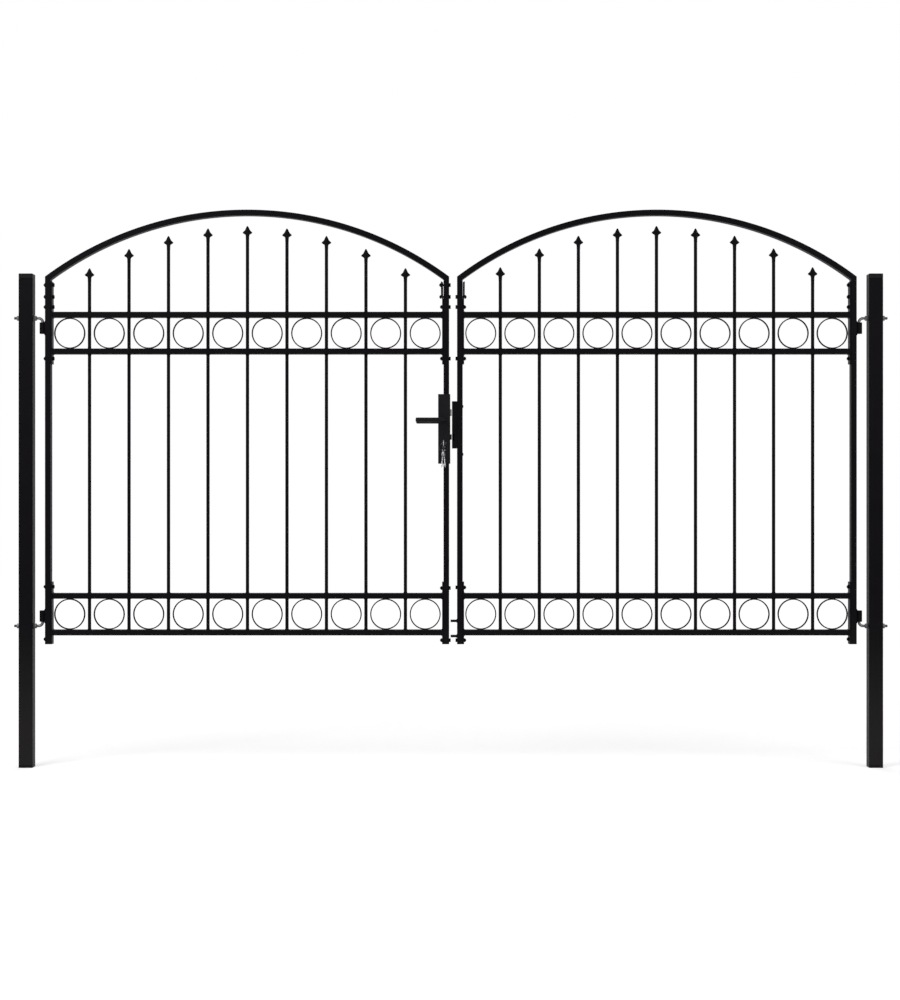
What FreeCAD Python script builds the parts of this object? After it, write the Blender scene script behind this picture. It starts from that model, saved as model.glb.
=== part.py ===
import FreeCAD, Part
import Sketcher
import math
import os
import re

# Arched double gate: two hinged leaves between square posts.
# Origin: centre of the left post's foot.  +X runs to the right post, -Y is
# the front (the key side), +Z is up.  All sizes are millimetres.

doc = FreeCAD.newDocument("ArchedDoubleGate")

# ---------------------------------------------------------------- dimensions

DIMENSIONS = (
    ("postSpacing", 3010, "centre to centre of the posts"),
    ("postWide", 50, "square post tube"),
    ("postTall", 1750, "ground to the top of the post cap"),
    ("postWall", 2, "wall of the post tube"),
    ("postCorner", 2, "eased outer corner of the post tube"),
    ("capRim", 18, "visible height of the post cap"),
    ("footRim", 10, "visible height of the foot cap"),
    ("capPlug", 22, "length of a cap's plug inside its tube"),
    ("plugPlay", 0.2, "play of a plug in its tube, each side"),
    ("hingeGap", 42, "post face to hinge stile"),
    ("leafGap", 28, "lock stile to lock stile"),
    ("leftLeafWidth", 1432, "left leaf, over its stiles"),
    ("tubeWide", 20, "leaf tube, seen from the front"),
    ("tubeDeep", 35, "leaf tube, front to back"),
    ("barSides", 8, "sides of a baluster and of other thin rods and holes"),
    ("roundSides", 12, "sides of a bush, a lever and the like"),
    ("hoopSides", 16, "sides of a ring"),
    ("tubeWall", 1.5, "wall of the leaf tube"),
    ("tubeCorner", 1.2, "eased outer corner of the leaf tube"),
    ("leafFoot", 437, "underside of the stile plugs"),
    ("leafShoulder", 1740, "outer corner of stile and arch"),
    ("leafCrown", 1977, "top of the arch"),
    ("plugRim", 3, "visible height of a stile plug"),
    ("upperRailTop", 1615, "top of the upper ring band"),
    ("lowerRailTop", 618, "top of the lower ring band"),
    ("barDiameter", 12, "baluster"),
    ("barCount", 9, "balusters in a leaf"),
    ("pitchMargin", 30, "leaf width less ten pitches"),
    ("tipCrown", 1921, "tip of the middle spear head"),
    ("tipRadius", 1123, "radius of the curve through the tips"),
    ("headTall", 48, "spear head"),
    ("headWide", 35, "spear head over its barbs"),
    ("headThick", 9, "spear head, front to back"),
    ("headNeckWide", 13, "spear head's neck on its socket"),
    ("barbRootWide", 16, "spear head where its barbs start"),
    ("barbRootHeight", 17.5, "start of the barbs above the head's foot"),
    ("barbUnderWide", 30, "spear head under its barbs"),
    ("barbUnderHeight", 20, "underside of the barbs above the head's foot"),
    ("barbHeight", 23.6, "widest line of the barbs above the head's foot"),
    ("barbTopWide", 32, "spear head over its barbs' upper corners"),
    ("barbTopHeight", 26, "upper corners of the barbs above the head's foot"),
    ("headWaistWide", 12.6, "spear head where the barbs leave the blade"),
    ("headWaistHeight", 33.5, "that line above the head's foot"),
    ("headTipWide", 4, "spear head's blunt tip"),
    ("socketDiameter", 14.5, "spear head's socket"),
    ("socketTall", 15, "spear head's socket"),
    ("ringDiameter", 110, "outside of a ring, and clear height of its band"),
    ("ringStrip", 3, "thickness of the ring's strip"),
    ("ringDeep", 10, "ring, front to back"),
    ("plateThick", 5, "side plate"),
    ("upperPlateTop", 1722, "top of the upper side plates"),
    ("upperPlateFoot", 1430, "underside of the upper side plates"),
    ("lowerPlateTop", 658, "top of the lower side plates"),
    ("plateBend", 1655, "height at which a lock stile's plate leans off"),
    ("plateLean", 6, "lean of that plate at its top"),
    ("pinReach", 11, "hinge pin axis to stile face"),
    ("pinDiameter", 10, "hook bolt rod"),
    ("pinFit", 0.1, "radial play of the pin in its bush"),
    ("boltHole", 12, "hole through the post for a hook bolt"),
    ("bendRadius", 14, "hook bolt's bend, on its centre line"),
    ("rodTail", 20, "hook bolt beyond the post's outer face"),
    ("bushDiameter", 22, "hinge bush"),
    ("bushTall", 40, "hinge bush"),
    ("upperBushFoot", 1538, "underside of the upper bush"),
    ("lowerBushFoot", 516, "underside of the lower bush"),
    ("rodOffset", 15, "rod axis to the nearer end of its bush"),
    ("pinShort", 2, "hinge pin's end inside its bush"),
    ("saddleDeep", 16, "weld saddle between bush and stile"),
    ("nutFlats", 17, "hexagon nut over its flats"),
    ("nutThick", 8, "hexagon nut"),
    ("caseWide", 43, "lock case"),
    ("caseProud", 4, "lock case beyond the lock stile"),
    ("caseFoot", 1083, "underside of the lock case"),
    ("caseTop", 1317, "top of the lock case"),
    ("facePlateThick", 5, "lock faceplate"),
    ("facePlateLap", 6, "faceplate beyond the case, above and below"),
    ("spindleHeight", 1230, "lever spindle"),
    ("spindleInset", 24, "lever spindle to the case's gap face"),
    ("spindleSide", 8, "square spindle"),
    ("spindleHole", 12, "hole for the spindle"),
    ("leverDiameter", 20, "lever bar"),
    ("leverReach", 98, "spindle to the lever's end"),
    ("leverStand", 45, "faceplate to the lever's axis"),
    ("leverClear", 2, "faceplate to the lever's neck"),
    ("leverNeck", 16, "lever's neck"),
    ("leverEnd", 4, "taper at the lever's ends"),
    ("latchTall", 24, "latch"),
    ("latchMiddle", 1258, "height of the latch"),
    ("latchLong", 37, "latch"),
    ("deadBoltTall", 19, "dead bolt"),
    ("deadBoltMiddle", 1171.5, "height of the dead bolt"),
    ("deadBoltLong", 38, "dead bolt"),
    ("boltDeep", 12, "latch and dead bolt, front to back"),
    ("boltProud", 5, "latch and dead bolt beyond the case at rest"),
    ("boltPlay", 0.3, "play of a bolt in its channel, each side"),
    ("channelRoom", 1, "room left behind a bolt drawn back"),
    ("latchTravel", 6, "travel of the latch"),
    ("cylinderHeight", 1148, "centre of the key plug"),
    ("cylinderDiameter", 17, "round part of the cylinder"),
    ("cylinderTall", 33, "cylinder over all"),
    ("cylinderThick", 10, "lower part of the cylinder"),
    ("cylinderProud", 2, "cylinder beyond the faceplate"),
    ("keyThick", 2.5, "key blank"),
    ("keyBow", 24, "key bow"),
    ("keyShank", 8, "key between cylinder and bow"),
    ("keyHole", 5, "hole in a key bow"),
    ("keyHoleInset", 6.7, "that hole's centre from the bow's centre"),
    ("hangDrop", 1, "ring wire's centre below the key hole's centre"),
    ("hangLift", 0.3, "spare key's hole above the ring's lowest point"),
    ("keyRingDiameter", 29, "key ring on its wire's centre line"),
    ("keyRingWire", 2, "wire of the key ring"),
    ("spareKeyLong", 60, "spare key"),
    ("spareKeySplay", 5, "angle between a spare key and the vertical"),
    ("spareKeySpread", 2, "spare key's hole from the middle of the ring"),
    ("strikeProud", 18, "strike beyond the right lock stile"),
    ("strikeFoot", 1131, "underside of the strike"),
    ("strikeTop", 1298, "top of the strike"),
    ("strikePlay", 3, "room round a bolt in the strike"),
    ("strikeDepth", 16, "depth of the strike's pockets"),
    ("notchDepth", 8, "depth of the open notch at the dead bolt"),
    ("lugLong", 23, "guide lug beyond the right lock stile"),
    ("lugTall", 8, "guide lug"),
    ("lugDeep", 24, "guide lug, front to back"),
    ("lugHole", 12, "hole of a guide lug"),
    ("upperLugFoot", 515, "underside of the upper guide lug"),
    ("lowerLugFoot", 461, "underside of the lower guide lug"),
)

sheet = doc.addObject("Spreadsheet::Sheet", "Dimensions")
for row, (alias, size, note) in enumerate(DIMENSIONS, start=1):
    sheet.set(f"A{row}", note)
    sheet.set(f"B{row}", str(size))
    sheet.setAlias(f"B{row}", alias)
doc.recompute()

ALIASES = {alias for alias, size, note in DIMENSIONS}


def cells(formula):
    """The formula with each alias written as a cell of the sheet."""
    return re.sub(
        r"[A-Za-z]\w*",
        lambda word: "Dimensions." + word.group() if word.group() in ALIASES else word.group(),
        str(formula),
    )


def value(formula):
    """The number that a formula on the sheet gives now."""
    return float(sheet.evalExpression(cells(formula)))


def bind(piece, **sizes):
    """Bind properties of a piece to formulas on the sheet."""
    for name, formula in sizes.items():
        piece.setExpression(name, cells(formula))
    return piece


def move(piece, x="0", y="0", z="0", turn=None):
    """Bind a piece's place to formulas, and turn it."""
    if turn:
        piece.Placement = FreeCAD.Placement(FreeCAD.Vector(), FreeCAD.Rotation(*turn))
    for axis, formula in zip("xyz", (x, y, z)):
        piece.setExpression(f"Placement.Base.{axis}", cells(formula))
    return piece


UP = FreeCAD.Vector(0, 0, 1)
RIGHT = FreeCAD.Vector(1, 0, 0)
BACK = FreeCAD.Vector(0, 1, 0)

# -------------------------------------------------------- primitives and sets


def box(name, long, deep, tall, x="0", y="0", z="0"):
    """A box by its three sizes and its low corner."""
    piece = doc.addObject("Part::Box", name)
    bind(piece, Length=long, Width=deep, Height=tall)
    return move(piece, x, y, z)


def prism(name, sides, across, long, x="0", y="0", z="0", turn=None):
    """A many-sided bar by its size over the flats, flats to the front and the sides."""
    piece = doc.addObject("Part::Prism", name)
    bind(piece, Polygon=sides, Circumradius=f"({across}) / (2 * cos(180 / {sides}))", Height=long)
    move(piece, x, y, z, turn)
    piece.Placement.Rotation *= FreeCAD.Rotation(UP, 180 / value(sides))
    return piece


def together(name, pieces):
    """Like pieces that don't touch, as one sub-part."""
    group = doc.addObject("Part::Compound", name)
    group.Links = pieces
    return group


def cut(name, base, tool):
    """The base less the tool."""
    piece = doc.addObject("Part::Cut", name)
    piece.Base = base
    piece.Tool = tool
    return piece


def copy_of(piece, name, x="0", y="0", z="0", turn=None):
    """A linked copy of a piece, in its own place."""
    link = doc.addObject("App::Link", name)
    link.LinkedObject = piece
    return move(link, x, y, z, turn)


def fuse(name, pieces):
    """Several pieces joined into one."""
    piece = doc.addObject("Part::MultiFuse", name)
    piece.Shapes = pieces
    return piece


# ------------------------------------------------------------ sketched bodies


def new_body(name):
    """A PartDesign body."""
    return doc.addObject("PartDesign::Body", name)


def new_sketch(body, name, plane, offset="0"):
    """A sketch on one of the body's own origin planes, lifted by offset."""
    sketch = body.newObject("Sketcher::SketchObject", name)
    origin_plane = [part for part in body.Origin.OriginFeatures if part.Role == plane][0]
    sketch.AttachmentSupport = [(origin_plane, "")]
    sketch.MapMode = "FlatFace"
    sketch.setExpression("AttachmentOffset.Base.z", cells(offset))
    return sketch


def pin_point(sketch, edge, end, x, y=None):
    """Fix an end (or centre) of a sketch edge by formulas for x and y."""
    places = [("DistanceX", x)] if y is None else [("DistanceX", x), ("DistanceY", y)]
    for kind, formula in places:
        index = sketch.addConstraint(Sketcher.Constraint(kind, edge, end, value(formula)))
        sketch.setExpression(f"Constraints[{index}]", cells(formula))


def draw_polygon(sketch, corners):
    """A closed outline of straight edges through corners given by formulas."""
    spots = [FreeCAD.Vector(value(x), value(y), 0) for x, y in corners]
    first = sketch.GeometryCount
    count = len(spots)
    for index, spot in enumerate(spots):
        sketch.addGeometry(Part.LineSegment(spot, spots[(index + 1) % count]), False)
    for index, (x, y) in enumerate(corners):
        before = first + (index - 1) % count
        sketch.addConstraint(Sketcher.Constraint("Coincident", before, 2, first + index, 1))
        pin_point(sketch, first + index, 1, x, y)


def draw_round(sketch, x, y, diameter, sides="barSides"):
    """A regular outline of few sides with its corners on a circle."""
    corners = []
    radius = f"({diameter}) / 2"
    for corner in range(int(value(sides))):
        angle = f"360 * ({corner} + 0.5) / {sides}"
        corners.append((f"{x} + {radius} * cos({angle})", f"{y} + {radius} * sin({angle})"))
    draw_polygon(sketch, corners)


def draw_rectangle(sketch, left, low, right, high):
    """A closed rectangle by formulas for its sides."""
    draw_polygon(sketch, [(left, low), (right, low), (right, high), (left, high)])


def add_axis(sketch, y):
    """A helper line along the sketch's x, at a height given by a formula."""
    ends = [FreeCAD.Vector(x, value(y), 0) for x in (0, 1)]
    line = sketch.addGeometry(Part.LineSegment(*ends), True)
    pin_point(sketch, line, 1, "0", y)
    pin_point(sketch, line, 2, "1", y)
    return "Axis0"


def pad(body, name, sketch, long, midplane=True, reversed_way=False):
    """Material on a sketch, by default to both sides of its plane."""
    feature = body.newObject("PartDesign::Pad", name)
    feature.Profile = sketch
    feature.Midplane = midplane
    feature.Reversed = reversed_way
    bind(feature, Length=long)
    body.Tip = feature
    doc.recompute()
    return feature


def pocket(body, name, sketch, long, midplane=True, reversed_way=False):
    """Material taken away on a sketch; it has to make the body smaller."""
    before = body.Shape.Volume
    feature = body.newObject("PartDesign::Pocket", name)
    feature.Profile = sketch
    feature.Midplane = midplane
    feature.Reversed = reversed_way
    bind(feature, Length=long)
    body.Tip = feature
    doc.recompute()
    if body.Shape.Volume >= before:
        raise ValueError(f"{body.Label}: {name} cuts nothing")
    return feature


NEARLY_ZERO = 1e-6


def long_edges(shape, direction):
    """Names of the straight edges of a shape that run along a direction."""
    names = []
    for index, edge in enumerate(shape.Edges, start=1):
        if isinstance(edge.Curve, Part.Line):
            if abs(abs(edge.tangentAt(edge.FirstParameter).dot(direction)) - 1) < NEARLY_ZERO:
                names.append(f"Edge{index}")
    return names


def ease_edges(body, name, size, edges):
    """Small flats on edges of the body's last feature."""
    feature = body.newObject("PartDesign::Chamfer", name)
    feature.Base = (body.Group[-2], edges)
    bind(feature, Size=size)
    body.Tip = feature
    doc.recompute()
    return feature


# -------------------------------------------------------------------- posts

ROD_HEIGHTS = {
    "upper": "upperBushFoot + bushTall + rodOffset",
    "lower": "lowerBushFoot - rodOffset",
}


def build_post(name, x):
    """A square tube that stands between its foot cap and its top cap."""
    body = new_body(name)
    outside = new_sketch(body, name + "_section", "XY_Plane", "footRim")
    half = "postWide / 2"
    draw_rectangle(outside, f"-{half}", f"-{half}", half, half)
    pad(body, name + "_tube", outside, "postTall - capRim - footRim", midplane=False)
    ease_edges(body, name + "_corners", "postCorner", long_edges(body.Shape, UP))
    inside = new_sketch(body, name + "_bore", "XY_Plane", "footRim")
    half = "(postWide / 2 - postWall)"
    draw_rectangle(inside, f"-{half}", f"-{half}", half, half)
    pocket(body, name + "_hollow", inside, "postTall - capRim - footRim", False, True)
    holes = new_sketch(body, name + "_holes", "YZ_Plane")
    for level in ROD_HEIGHTS.values():
        draw_round(holes, "0", level, "boltHole")
    pocket(body, name + "_drilling", holes, "2 * postWide")
    return move(body, x)


def build_end_cap(name, wide, wall, corner, rim, plug):
    """A moulded end cap for a tube's foot: a rim as wide as the tube, and a plug."""
    body = new_body(name)
    face = new_sketch(body, name + "_face", "XY_Plane")
    wide_x, wide_y = wide
    draw_rectangle(face, f"-({wide_x}) / 2", f"-({wide_y}) / 2", f"({wide_x}) / 2", f"({wide_y}) / 2")
    pad(body, name + "_rim", face, rim, midplane=False)
    ease_edges(body, name + "_corners", corner, long_edges(body.Shape, UP))
    inner = new_sketch(body, name + "_inner", "XY_Plane")
    inset = f"({wall} + plugPlay)"
    draw_rectangle(
        inner,
        f"-(({wide_x}) / 2 - {inset})",
        f"-(({wide_y}) / 2 - {inset})",
        f"({wide_x}) / 2 - {inset}",
        f"({wide_y}) / 2 - {inset}",
    )
    pad(body, name + "_plug", inner, f"({rim}) + ({plug})", midplane=False)
    return body


post_cap = build_end_cap(
    "post_cap_pattern", ("postWide", "postWide"), "postWall", "postCorner", "capRim", "capPlug"
)
post_foot_cap = build_end_cap(
    "post_foot_cap_pattern", ("postWide", "postWide"), "postWall", "postCorner", "footRim", "capPlug"
)
POST_PLACES = (("left", "0"), ("right", "postSpacing"))
posts = [build_post(f"{side}_post", x) for side, x in POST_PLACES]
post_caps = together(
    "post_caps",
    [copy_of(post_cap, f"{side}_post_cap", x, z="postTall", turn=(RIGHT, 180)) for side, x in POST_PLACES],
)
post_foot_caps = together(
    "post_foot_caps",
    [copy_of(post_foot_cap, f"{side}_post_foot_cap", x) for side, x in POST_PLACES],
)

# --------------------------------------------------------------- hook bolts

PIN_PLACES = {
    "left": "postWide / 2 + hingeGap - pinReach",
    "right": "postSpacing - postWide / 2 - hingeGap + pinReach",
}
HOOK_TURNS = {
    ("left", "upper"): None,
    ("left", "lower"): (RIGHT, 180),
    ("right", "upper"): (UP, 180),
    ("right", "lower"): (BACK, 180),
}


def build_hook_bolt(side, level):
    """A rod through the post that turns down (or up) into the hinge pin."""
    name = f"{side}_{level}_hook_bolt"
    body = new_body(name)
    rod_section = new_sketch(body, name + "_rod_section", "YZ_Plane", "-bendRadius")
    draw_round(rod_section, "0", "0", "pinDiameter")
    rod_long = "hingeGap - pinReach + postWide + rodTail - bendRadius"
    pad(body, name + "_rod", rod_section, rod_long, midplane=False, reversed_way=True)
    bend_section = new_sketch(body, name + "_bend_section", "YZ_Plane", "-bendRadius")
    draw_round(bend_section, "0", "0", "pinDiameter")
    turning_line = add_axis(bend_section, "-bendRadius")
    bend = body.newObject("PartDesign::Revolution", name + "_bend")
    bend.Profile = bend_section
    bend.ReferenceAxis = (bend_section, [turning_line])
    bind(bend, Angle="90")
    body.Tip = bend
    doc.recompute()
    pin_end = "-(rodOffset + bushTall - pinShort)"
    pin_section = new_sketch(body, name + "_pin_section", "XY_Plane", pin_end)
    draw_round(pin_section, "0", "0", "pinDiameter")
    pad(body, name + "_pin", pin_section, f"-({pin_end}) - bendRadius", midplane=False)
    return move(body, PIN_PLACES[side], z=ROD_HEIGHTS[level], turn=HOOK_TURNS[side, level])


def build_nut():
    """A hexagon nut standing on the YZ plane, point up."""
    body = new_body("nut_pattern")
    outline = new_sketch(body, "nut_outline", "YZ_Plane")
    side = "nutFlats / (2 * sqrt(3))"
    draw_polygon(
        outline,
        [
            ("0", f"2 * {side}"),
            ("-nutFlats / 2", side),
            ("-nutFlats / 2", f"-{side}"),
            ("0", f"-2 * {side}"),
            ("nutFlats / 2", f"-{side}"),
            ("nutFlats / 2", side),
        ],
    )
    draw_round(outline, "0", "0", "pinDiameter")
    pad(body, "nut_blank", outline, "nutThick", midplane=False)
    return body


hook_bolts = together("hook_bolts", [build_hook_bolt(side, level) for side, level in HOOK_TURNS])
nut = build_nut()
NUT_PLACES = {
    "left_outer": "-postWide / 2 - nutThick",
    "left_inner": "postWide / 2",
    "right_inner": "postSpacing - postWide / 2 - nutThick",
    "right_outer": "postSpacing + postWide / 2",
}
hook_bolt_nuts = together(
    "hook_bolt_nuts",
    [
        copy_of(nut, f"{place}_{level}_nut", x, z=z)
        for place, x in NUT_PLACES.items()
        for level, z in ROD_HEIGHTS.items()
    ],
)

# -------------------------------------------------------------------- leaves
# A leaf is drawn from its hinge stile's outer face (x = 0) to its lock
# stile's gap face (x = width).  The right leaf is the same leaf turned round.

LEAVES = {
    "left": {
        "width": "leftLeafWidth",
        "x": "postWide / 2 + hingeGap",
        "turn": None,
    },
    "right": {
        "width": "(postSpacing - postWide - 2 * hingeGap - leafGap - leftLeafWidth)",
        "x": "postSpacing - postWide / 2 - hingeGap",
        "turn": (UP, 180),
    },
}
RISE = "(leafCrown - leafShoulder)"
LOWER_BAND = "lowerRailTop - 2 * tubeWide - ringDiameter"
RAIL_FEET = {
    "upper": ("upperRailTop - tubeWide", "upperRailTop - 2 * tubeWide - ringDiameter"),
    "lower": ("lowerRailTop - tubeWide", LOWER_BAND),
}


def arch_radius(width):
    """Outer radius of the arch, from its chord and its rise."""
    return f"(({width})^2 / 4 + {RISE}^2) / (2 * {RISE})"


def arch_height(width, inset, offset):
    """Height of a curve inset from the arch's top, at an offset from its middle."""
    radius = arch_radius(width)
    return f"leafCrown - {radius} + sqrt(({radius} - ({inset}))^2 - ({offset})^2)"


def place_leaf(piece, side):
    """Stand a piece of a leaf in its place in the gate."""
    return move(piece, LEAVES[side]["x"], turn=LEAVES[side]["turn"])


def build_stile(name, width, at_hinge):
    """A tube from the leaf's foot to its mitre with the arch."""
    outer, inner = ("0", "tubeWide") if at_hinge else (width, f"{width} - tubeWide")
    wall = "tubeWall" if at_hinge else "-tubeWall"
    foot = "leafFoot + plugRim"
    mitre = arch_height(width, "tubeWide", f"{width} / 2 - tubeWide")
    body = new_body(name)
    outline = new_sketch(body, name + "_outline", "XZ_Plane")
    corners = [(outer, foot), (inner, foot), (inner, mitre), (outer, "leafShoulder")]
    draw_polygon(outline, corners if at_hinge else corners[::-1])
    pad(body, name + "_tube", outline, "tubeDeep")
    ease_edges(body, name + "_corners", "tubeCorner", long_edges(body.Shape, UP))
    hollow = new_sketch(body, name + "_bore", "XZ_Plane")
    sides = sorted([f"{outer} + {wall}", f"{inner} - ({wall})"], key=value)
    draw_rectangle(hollow, sides[0], foot, sides[1], "leafShoulder")
    pocket(body, name + "_hollow", hollow, "tubeDeep - 2 * tubeWall")
    return body


def draw_arch(sketch, width, outer_inset, inner_inset, side_inset):
    """Two arcs on one centre, closed by a straight mitre at each end."""
    radius = arch_radius(width)
    centre = (f"{width} / 2", f"leafCrown - {radius}")
    middle = FreeCAD.Vector(value(centre[0]), value(centre[1]), 0)
    ends = []
    for inset, side in ((outer_inset, "0"), (inner_inset, side_inset)):
        height = arch_height(width, inset, f"{width} / 2 - ({side})")
        ends.append(((side, height), (f"{width} - ({side})", height)))
    for inset, (left, right) in zip((outer_inset, inner_inset), ends):
        angles = [
            math.atan2(value(y) - middle.y, value(x) - middle.x) for x, y in (right, left)
        ]
        circle = Part.Circle(middle, FreeCAD.Vector(0, 0, 1), value(f"{radius} - ({inset})"))
        sketch.addGeometry(Part.ArcOfCircle(circle, *angles), False)
    for mitre in (0, 1):
        spots = [FreeCAD.Vector(value(end[mitre][0]), value(end[mitre][1]), 0) for end in ends]
        sketch.addGeometry(Part.LineSegment(*spots), False)
    for mitre, arc_end in ((2, 2), (3, 1)):
        sketch.addConstraint(Sketcher.Constraint("Coincident", 0, arc_end, mitre, 1))
        sketch.addConstraint(Sketcher.Constraint("Coincident", 1, arc_end, mitre, 2))
    for arc, (left, right) in enumerate(ends):
        pin_point(sketch, arc, 3, *centre)
        pin_point(sketch, arc, 1, *right)
        pin_point(sketch, arc, 2, left[0])


def build_arch(name, width):
    """The bowed tube across the top of a leaf."""
    body = new_body(name)
    outline = new_sketch(body, name + "_outline", "XZ_Plane")
    draw_arch(outline, width, "0", "tubeWide", "tubeWide")
    pad(body, name + "_tube", outline, "tubeDeep")
    hollow = new_sketch(body, name + "_bore", "XZ_Plane")
    draw_arch(hollow, width, "tubeWall", "tubeWide - tubeWall", "0")
    pocket(body, name + "_hollow", hollow, "tubeDeep - 2 * tubeWall")
    return body


def bar_place(width, number):
    """Where a baluster stands: formulas for x and for its offset from the middle."""
    pitch = f"({width} - pitchMargin) / (barCount + 1)"
    offset = f"({number} - (barCount + 1) / 2) * {pitch}"
    return f"{width} / 2 + {offset}", offset


def build_balusters(side, width):
    """Round bars that stand on the bottom rail."""
    bars = []
    for number in range(1, BAR_COUNT + 1):
        x, offset = bar_place(width, number)
        foot = f"{LOWER_BAND} + tubeWide"
        top = f"{tip_height(offset)} - headTall"
        name = f"{side}_baluster_{number}"
        bars.append(prism(name, "barSides", "barDiameter", f"{top} - ({foot})", x, z=foot))
    return place_leaf(together(f"{side}_balusters", bars), side)


def tip_height(offset):
    """Height of a spear head's tip, on the curve through all the tips."""
    return f"(tipCrown - tipRadius + sqrt(tipRadius^2 - ({offset})^2))"


def build_rails(side, width):
    """Four rails from side plate to side plate, three drilled for the bars."""
    start = "tubeWide + plateThick"
    long = f"{width} - 2 * ({start})"
    holes = []
    for number in range(1, BAR_COUNT + 1):
        x, offset = bar_place(width, number)
        name = f"{side}_bar_hole_{number}"
        tall = f"upperRailTop - ({LOWER_BAND} + tubeWide)"
        holes.append(prism(name, "barSides", "barDiameter", tall, x, z=f"{LOWER_BAND} + tubeWide"))
    drill = together(f"{side}_bar_holes", holes)
    pairs = []
    for level, feet in RAIL_FEET.items():
        rails = []
        for number, foot in enumerate(feet, start=1):
            name = f"{side}_{level}_rail_{number}"
            blank = box(name + "_blank", long, "tubeDeep", "tubeWide", start, "-tubeDeep / 2", foot)
            stands_on = foot == LOWER_BAND
            rails.append(blank if stands_on else cut(name, blank, drill))
        pairs.append(place_leaf(together(f"{side}_{level}_rails", rails), side))
    return pairs


def build_spear_head():
    """A flat spade with two barbs on a round socket."""
    body = new_body("spear_head_pattern")
    outline = new_sketch(body, "spear_head_outline", "XZ_Plane")
    half = [
        ("headNeckWide / 2", "socketTall"),
        ("barbRootWide / 2", "barbRootHeight"),
        ("barbUnderWide / 2", "barbUnderHeight"),
        ("headWide / 2", "barbHeight"),
        ("barbTopWide / 2", "barbTopHeight"),
        ("headWaistWide / 2", "headWaistHeight"),
        ("headTipWide / 2", "headTall"),
    ]
    draw_polygon(outline, half + [(f"-{x}", y) for x, y in half[::-1]])
    pad(body, "spear_head_spade", outline, "headThick")
    foot = new_sketch(body, "spear_head_foot", "XY_Plane")
    draw_round(foot, "0", "0", "socketDiameter")
    pad(body, "spear_head_socket", foot, "socketTall", midplane=False)
    return body


def build_spear_heads(side, width):
    """A spear head on each baluster."""
    heads = []
    for number in range(1, BAR_COUNT + 1):
        x, offset = bar_place(width, number)
        foot = f"{tip_height(offset)} - headTall"
        heads.append(copy_of(spear_head, f"{side}_spear_head_{number}", x, z=foot))
    return place_leaf(together(f"{side}_spear_heads", heads), side)


def build_ring():
    """A hoop of flat strip whose axis runs front to back."""
    across = {"outside": "ringDiameter", "inside": "ringDiameter - 2 * ringStrip"}
    outside, inside = [
        prism(f"ring_{face}", "hoopSides", size, "ringDeep", y="ringDeep / 2", turn=(RIGHT, 90))
        for face, size in across.items()
    ]
    return cut("ring_pattern", outside, inside)


def build_rings(side, level, width):
    """A ring midway between balusters, and one half a pitch beyond the last baluster on each side."""
    middle_height = f"{level}RailTop - tubeWide - ringDiameter / 2"
    rings = []
    for bay in range(1, BAR_COUNT + 2):
        middle = bar_place(width, bay - 0.5)[0]
        rings.append(copy_of(ring, f"{side}_{level}_ring_{bay}", middle, z=middle_height))
    return place_leaf(together(f"{side}_{level}_rings", rings), side)


def build_side_plates(side, width):
    """Flat bars on the stiles' inner faces, which carry the rails."""
    plates = []
    hinge_face = "tubeWide"
    lock_face = f"{width} - tubeWide - plateThick"
    for level, foot in (("upper", "upperPlateFoot"), ("lower", "leafFoot")):
        tall = f"{level}PlateTop - {foot}"
        name = f"{side}_{level}_hinge_plate"
        plates.append(box(name, "plateThick", "tubeDeep", tall, hinge_face, "-tubeDeep / 2", foot))
    name = f"{side}_lower_lock_plate"
    tall = "lowerPlateTop - leafFoot"
    plates.append(box(name, "plateThick", "tubeDeep", tall, lock_face, "-tubeDeep / 2", "leafFoot"))
    bent = new_body(f"{side}_upper_lock_plate")
    outline = new_sketch(bent, f"{side}_upper_lock_plate_outline", "XZ_Plane")
    draw_polygon(
        outline,
        [
            (lock_face, "upperPlateFoot"),
            (f"{lock_face} + plateThick", "upperPlateFoot"),
            (f"{lock_face} + plateThick", "plateBend"),
            (f"{lock_face} + plateThick - plateLean", "upperPlateTop"),
            (f"{lock_face} - plateLean", "upperPlateTop"),
            (lock_face, "plateBend"),
        ],
    )
    pad(bent, f"{side}_upper_lock_plate_bar", outline, "tubeDeep")
    plates.append(bent)
    return place_leaf(together(f"{side}_side_plates", plates), side)


def build_bush():
    """A hinge bush with the web that welds it to its stile."""
    barrel = prism("bush_barrel", "roundSides", "bushDiameter", "bushTall")
    web = box("bush_web", "pinReach", "saddleDeep", "bushTall", "0", "-saddleDeep / 2")
    bore = prism("bush_bore", "roundSides", "pinDiameter + 2 * pinFit", "bushTall")
    return cut("bush_pattern", fuse("bush_blank", [barrel, web]), bore)


def build_hinge_bushes(side):
    """The upper and lower bush of a leaf."""
    bushes = [
        copy_of(bush, f"{side}_{level}_bush", "-pinReach", z=f"{level}BushFoot")
        for level in ("upper", "lower")
    ]
    return place_leaf(together(f"{side}_hinge_bushes", bushes), side)


def build_stile_plugs(side, width):
    """A plug in the foot of each stile."""
    plugs = [
        copy_of(stile_plug, f"{side}_{place}_plug", x, z="leafFoot")
        for place, x in (("hinge", "tubeWide / 2"), ("lock", f"{width} - tubeWide / 2"))
    ]
    return place_leaf(together(f"{side}_stile_plugs", plugs), side)


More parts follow.
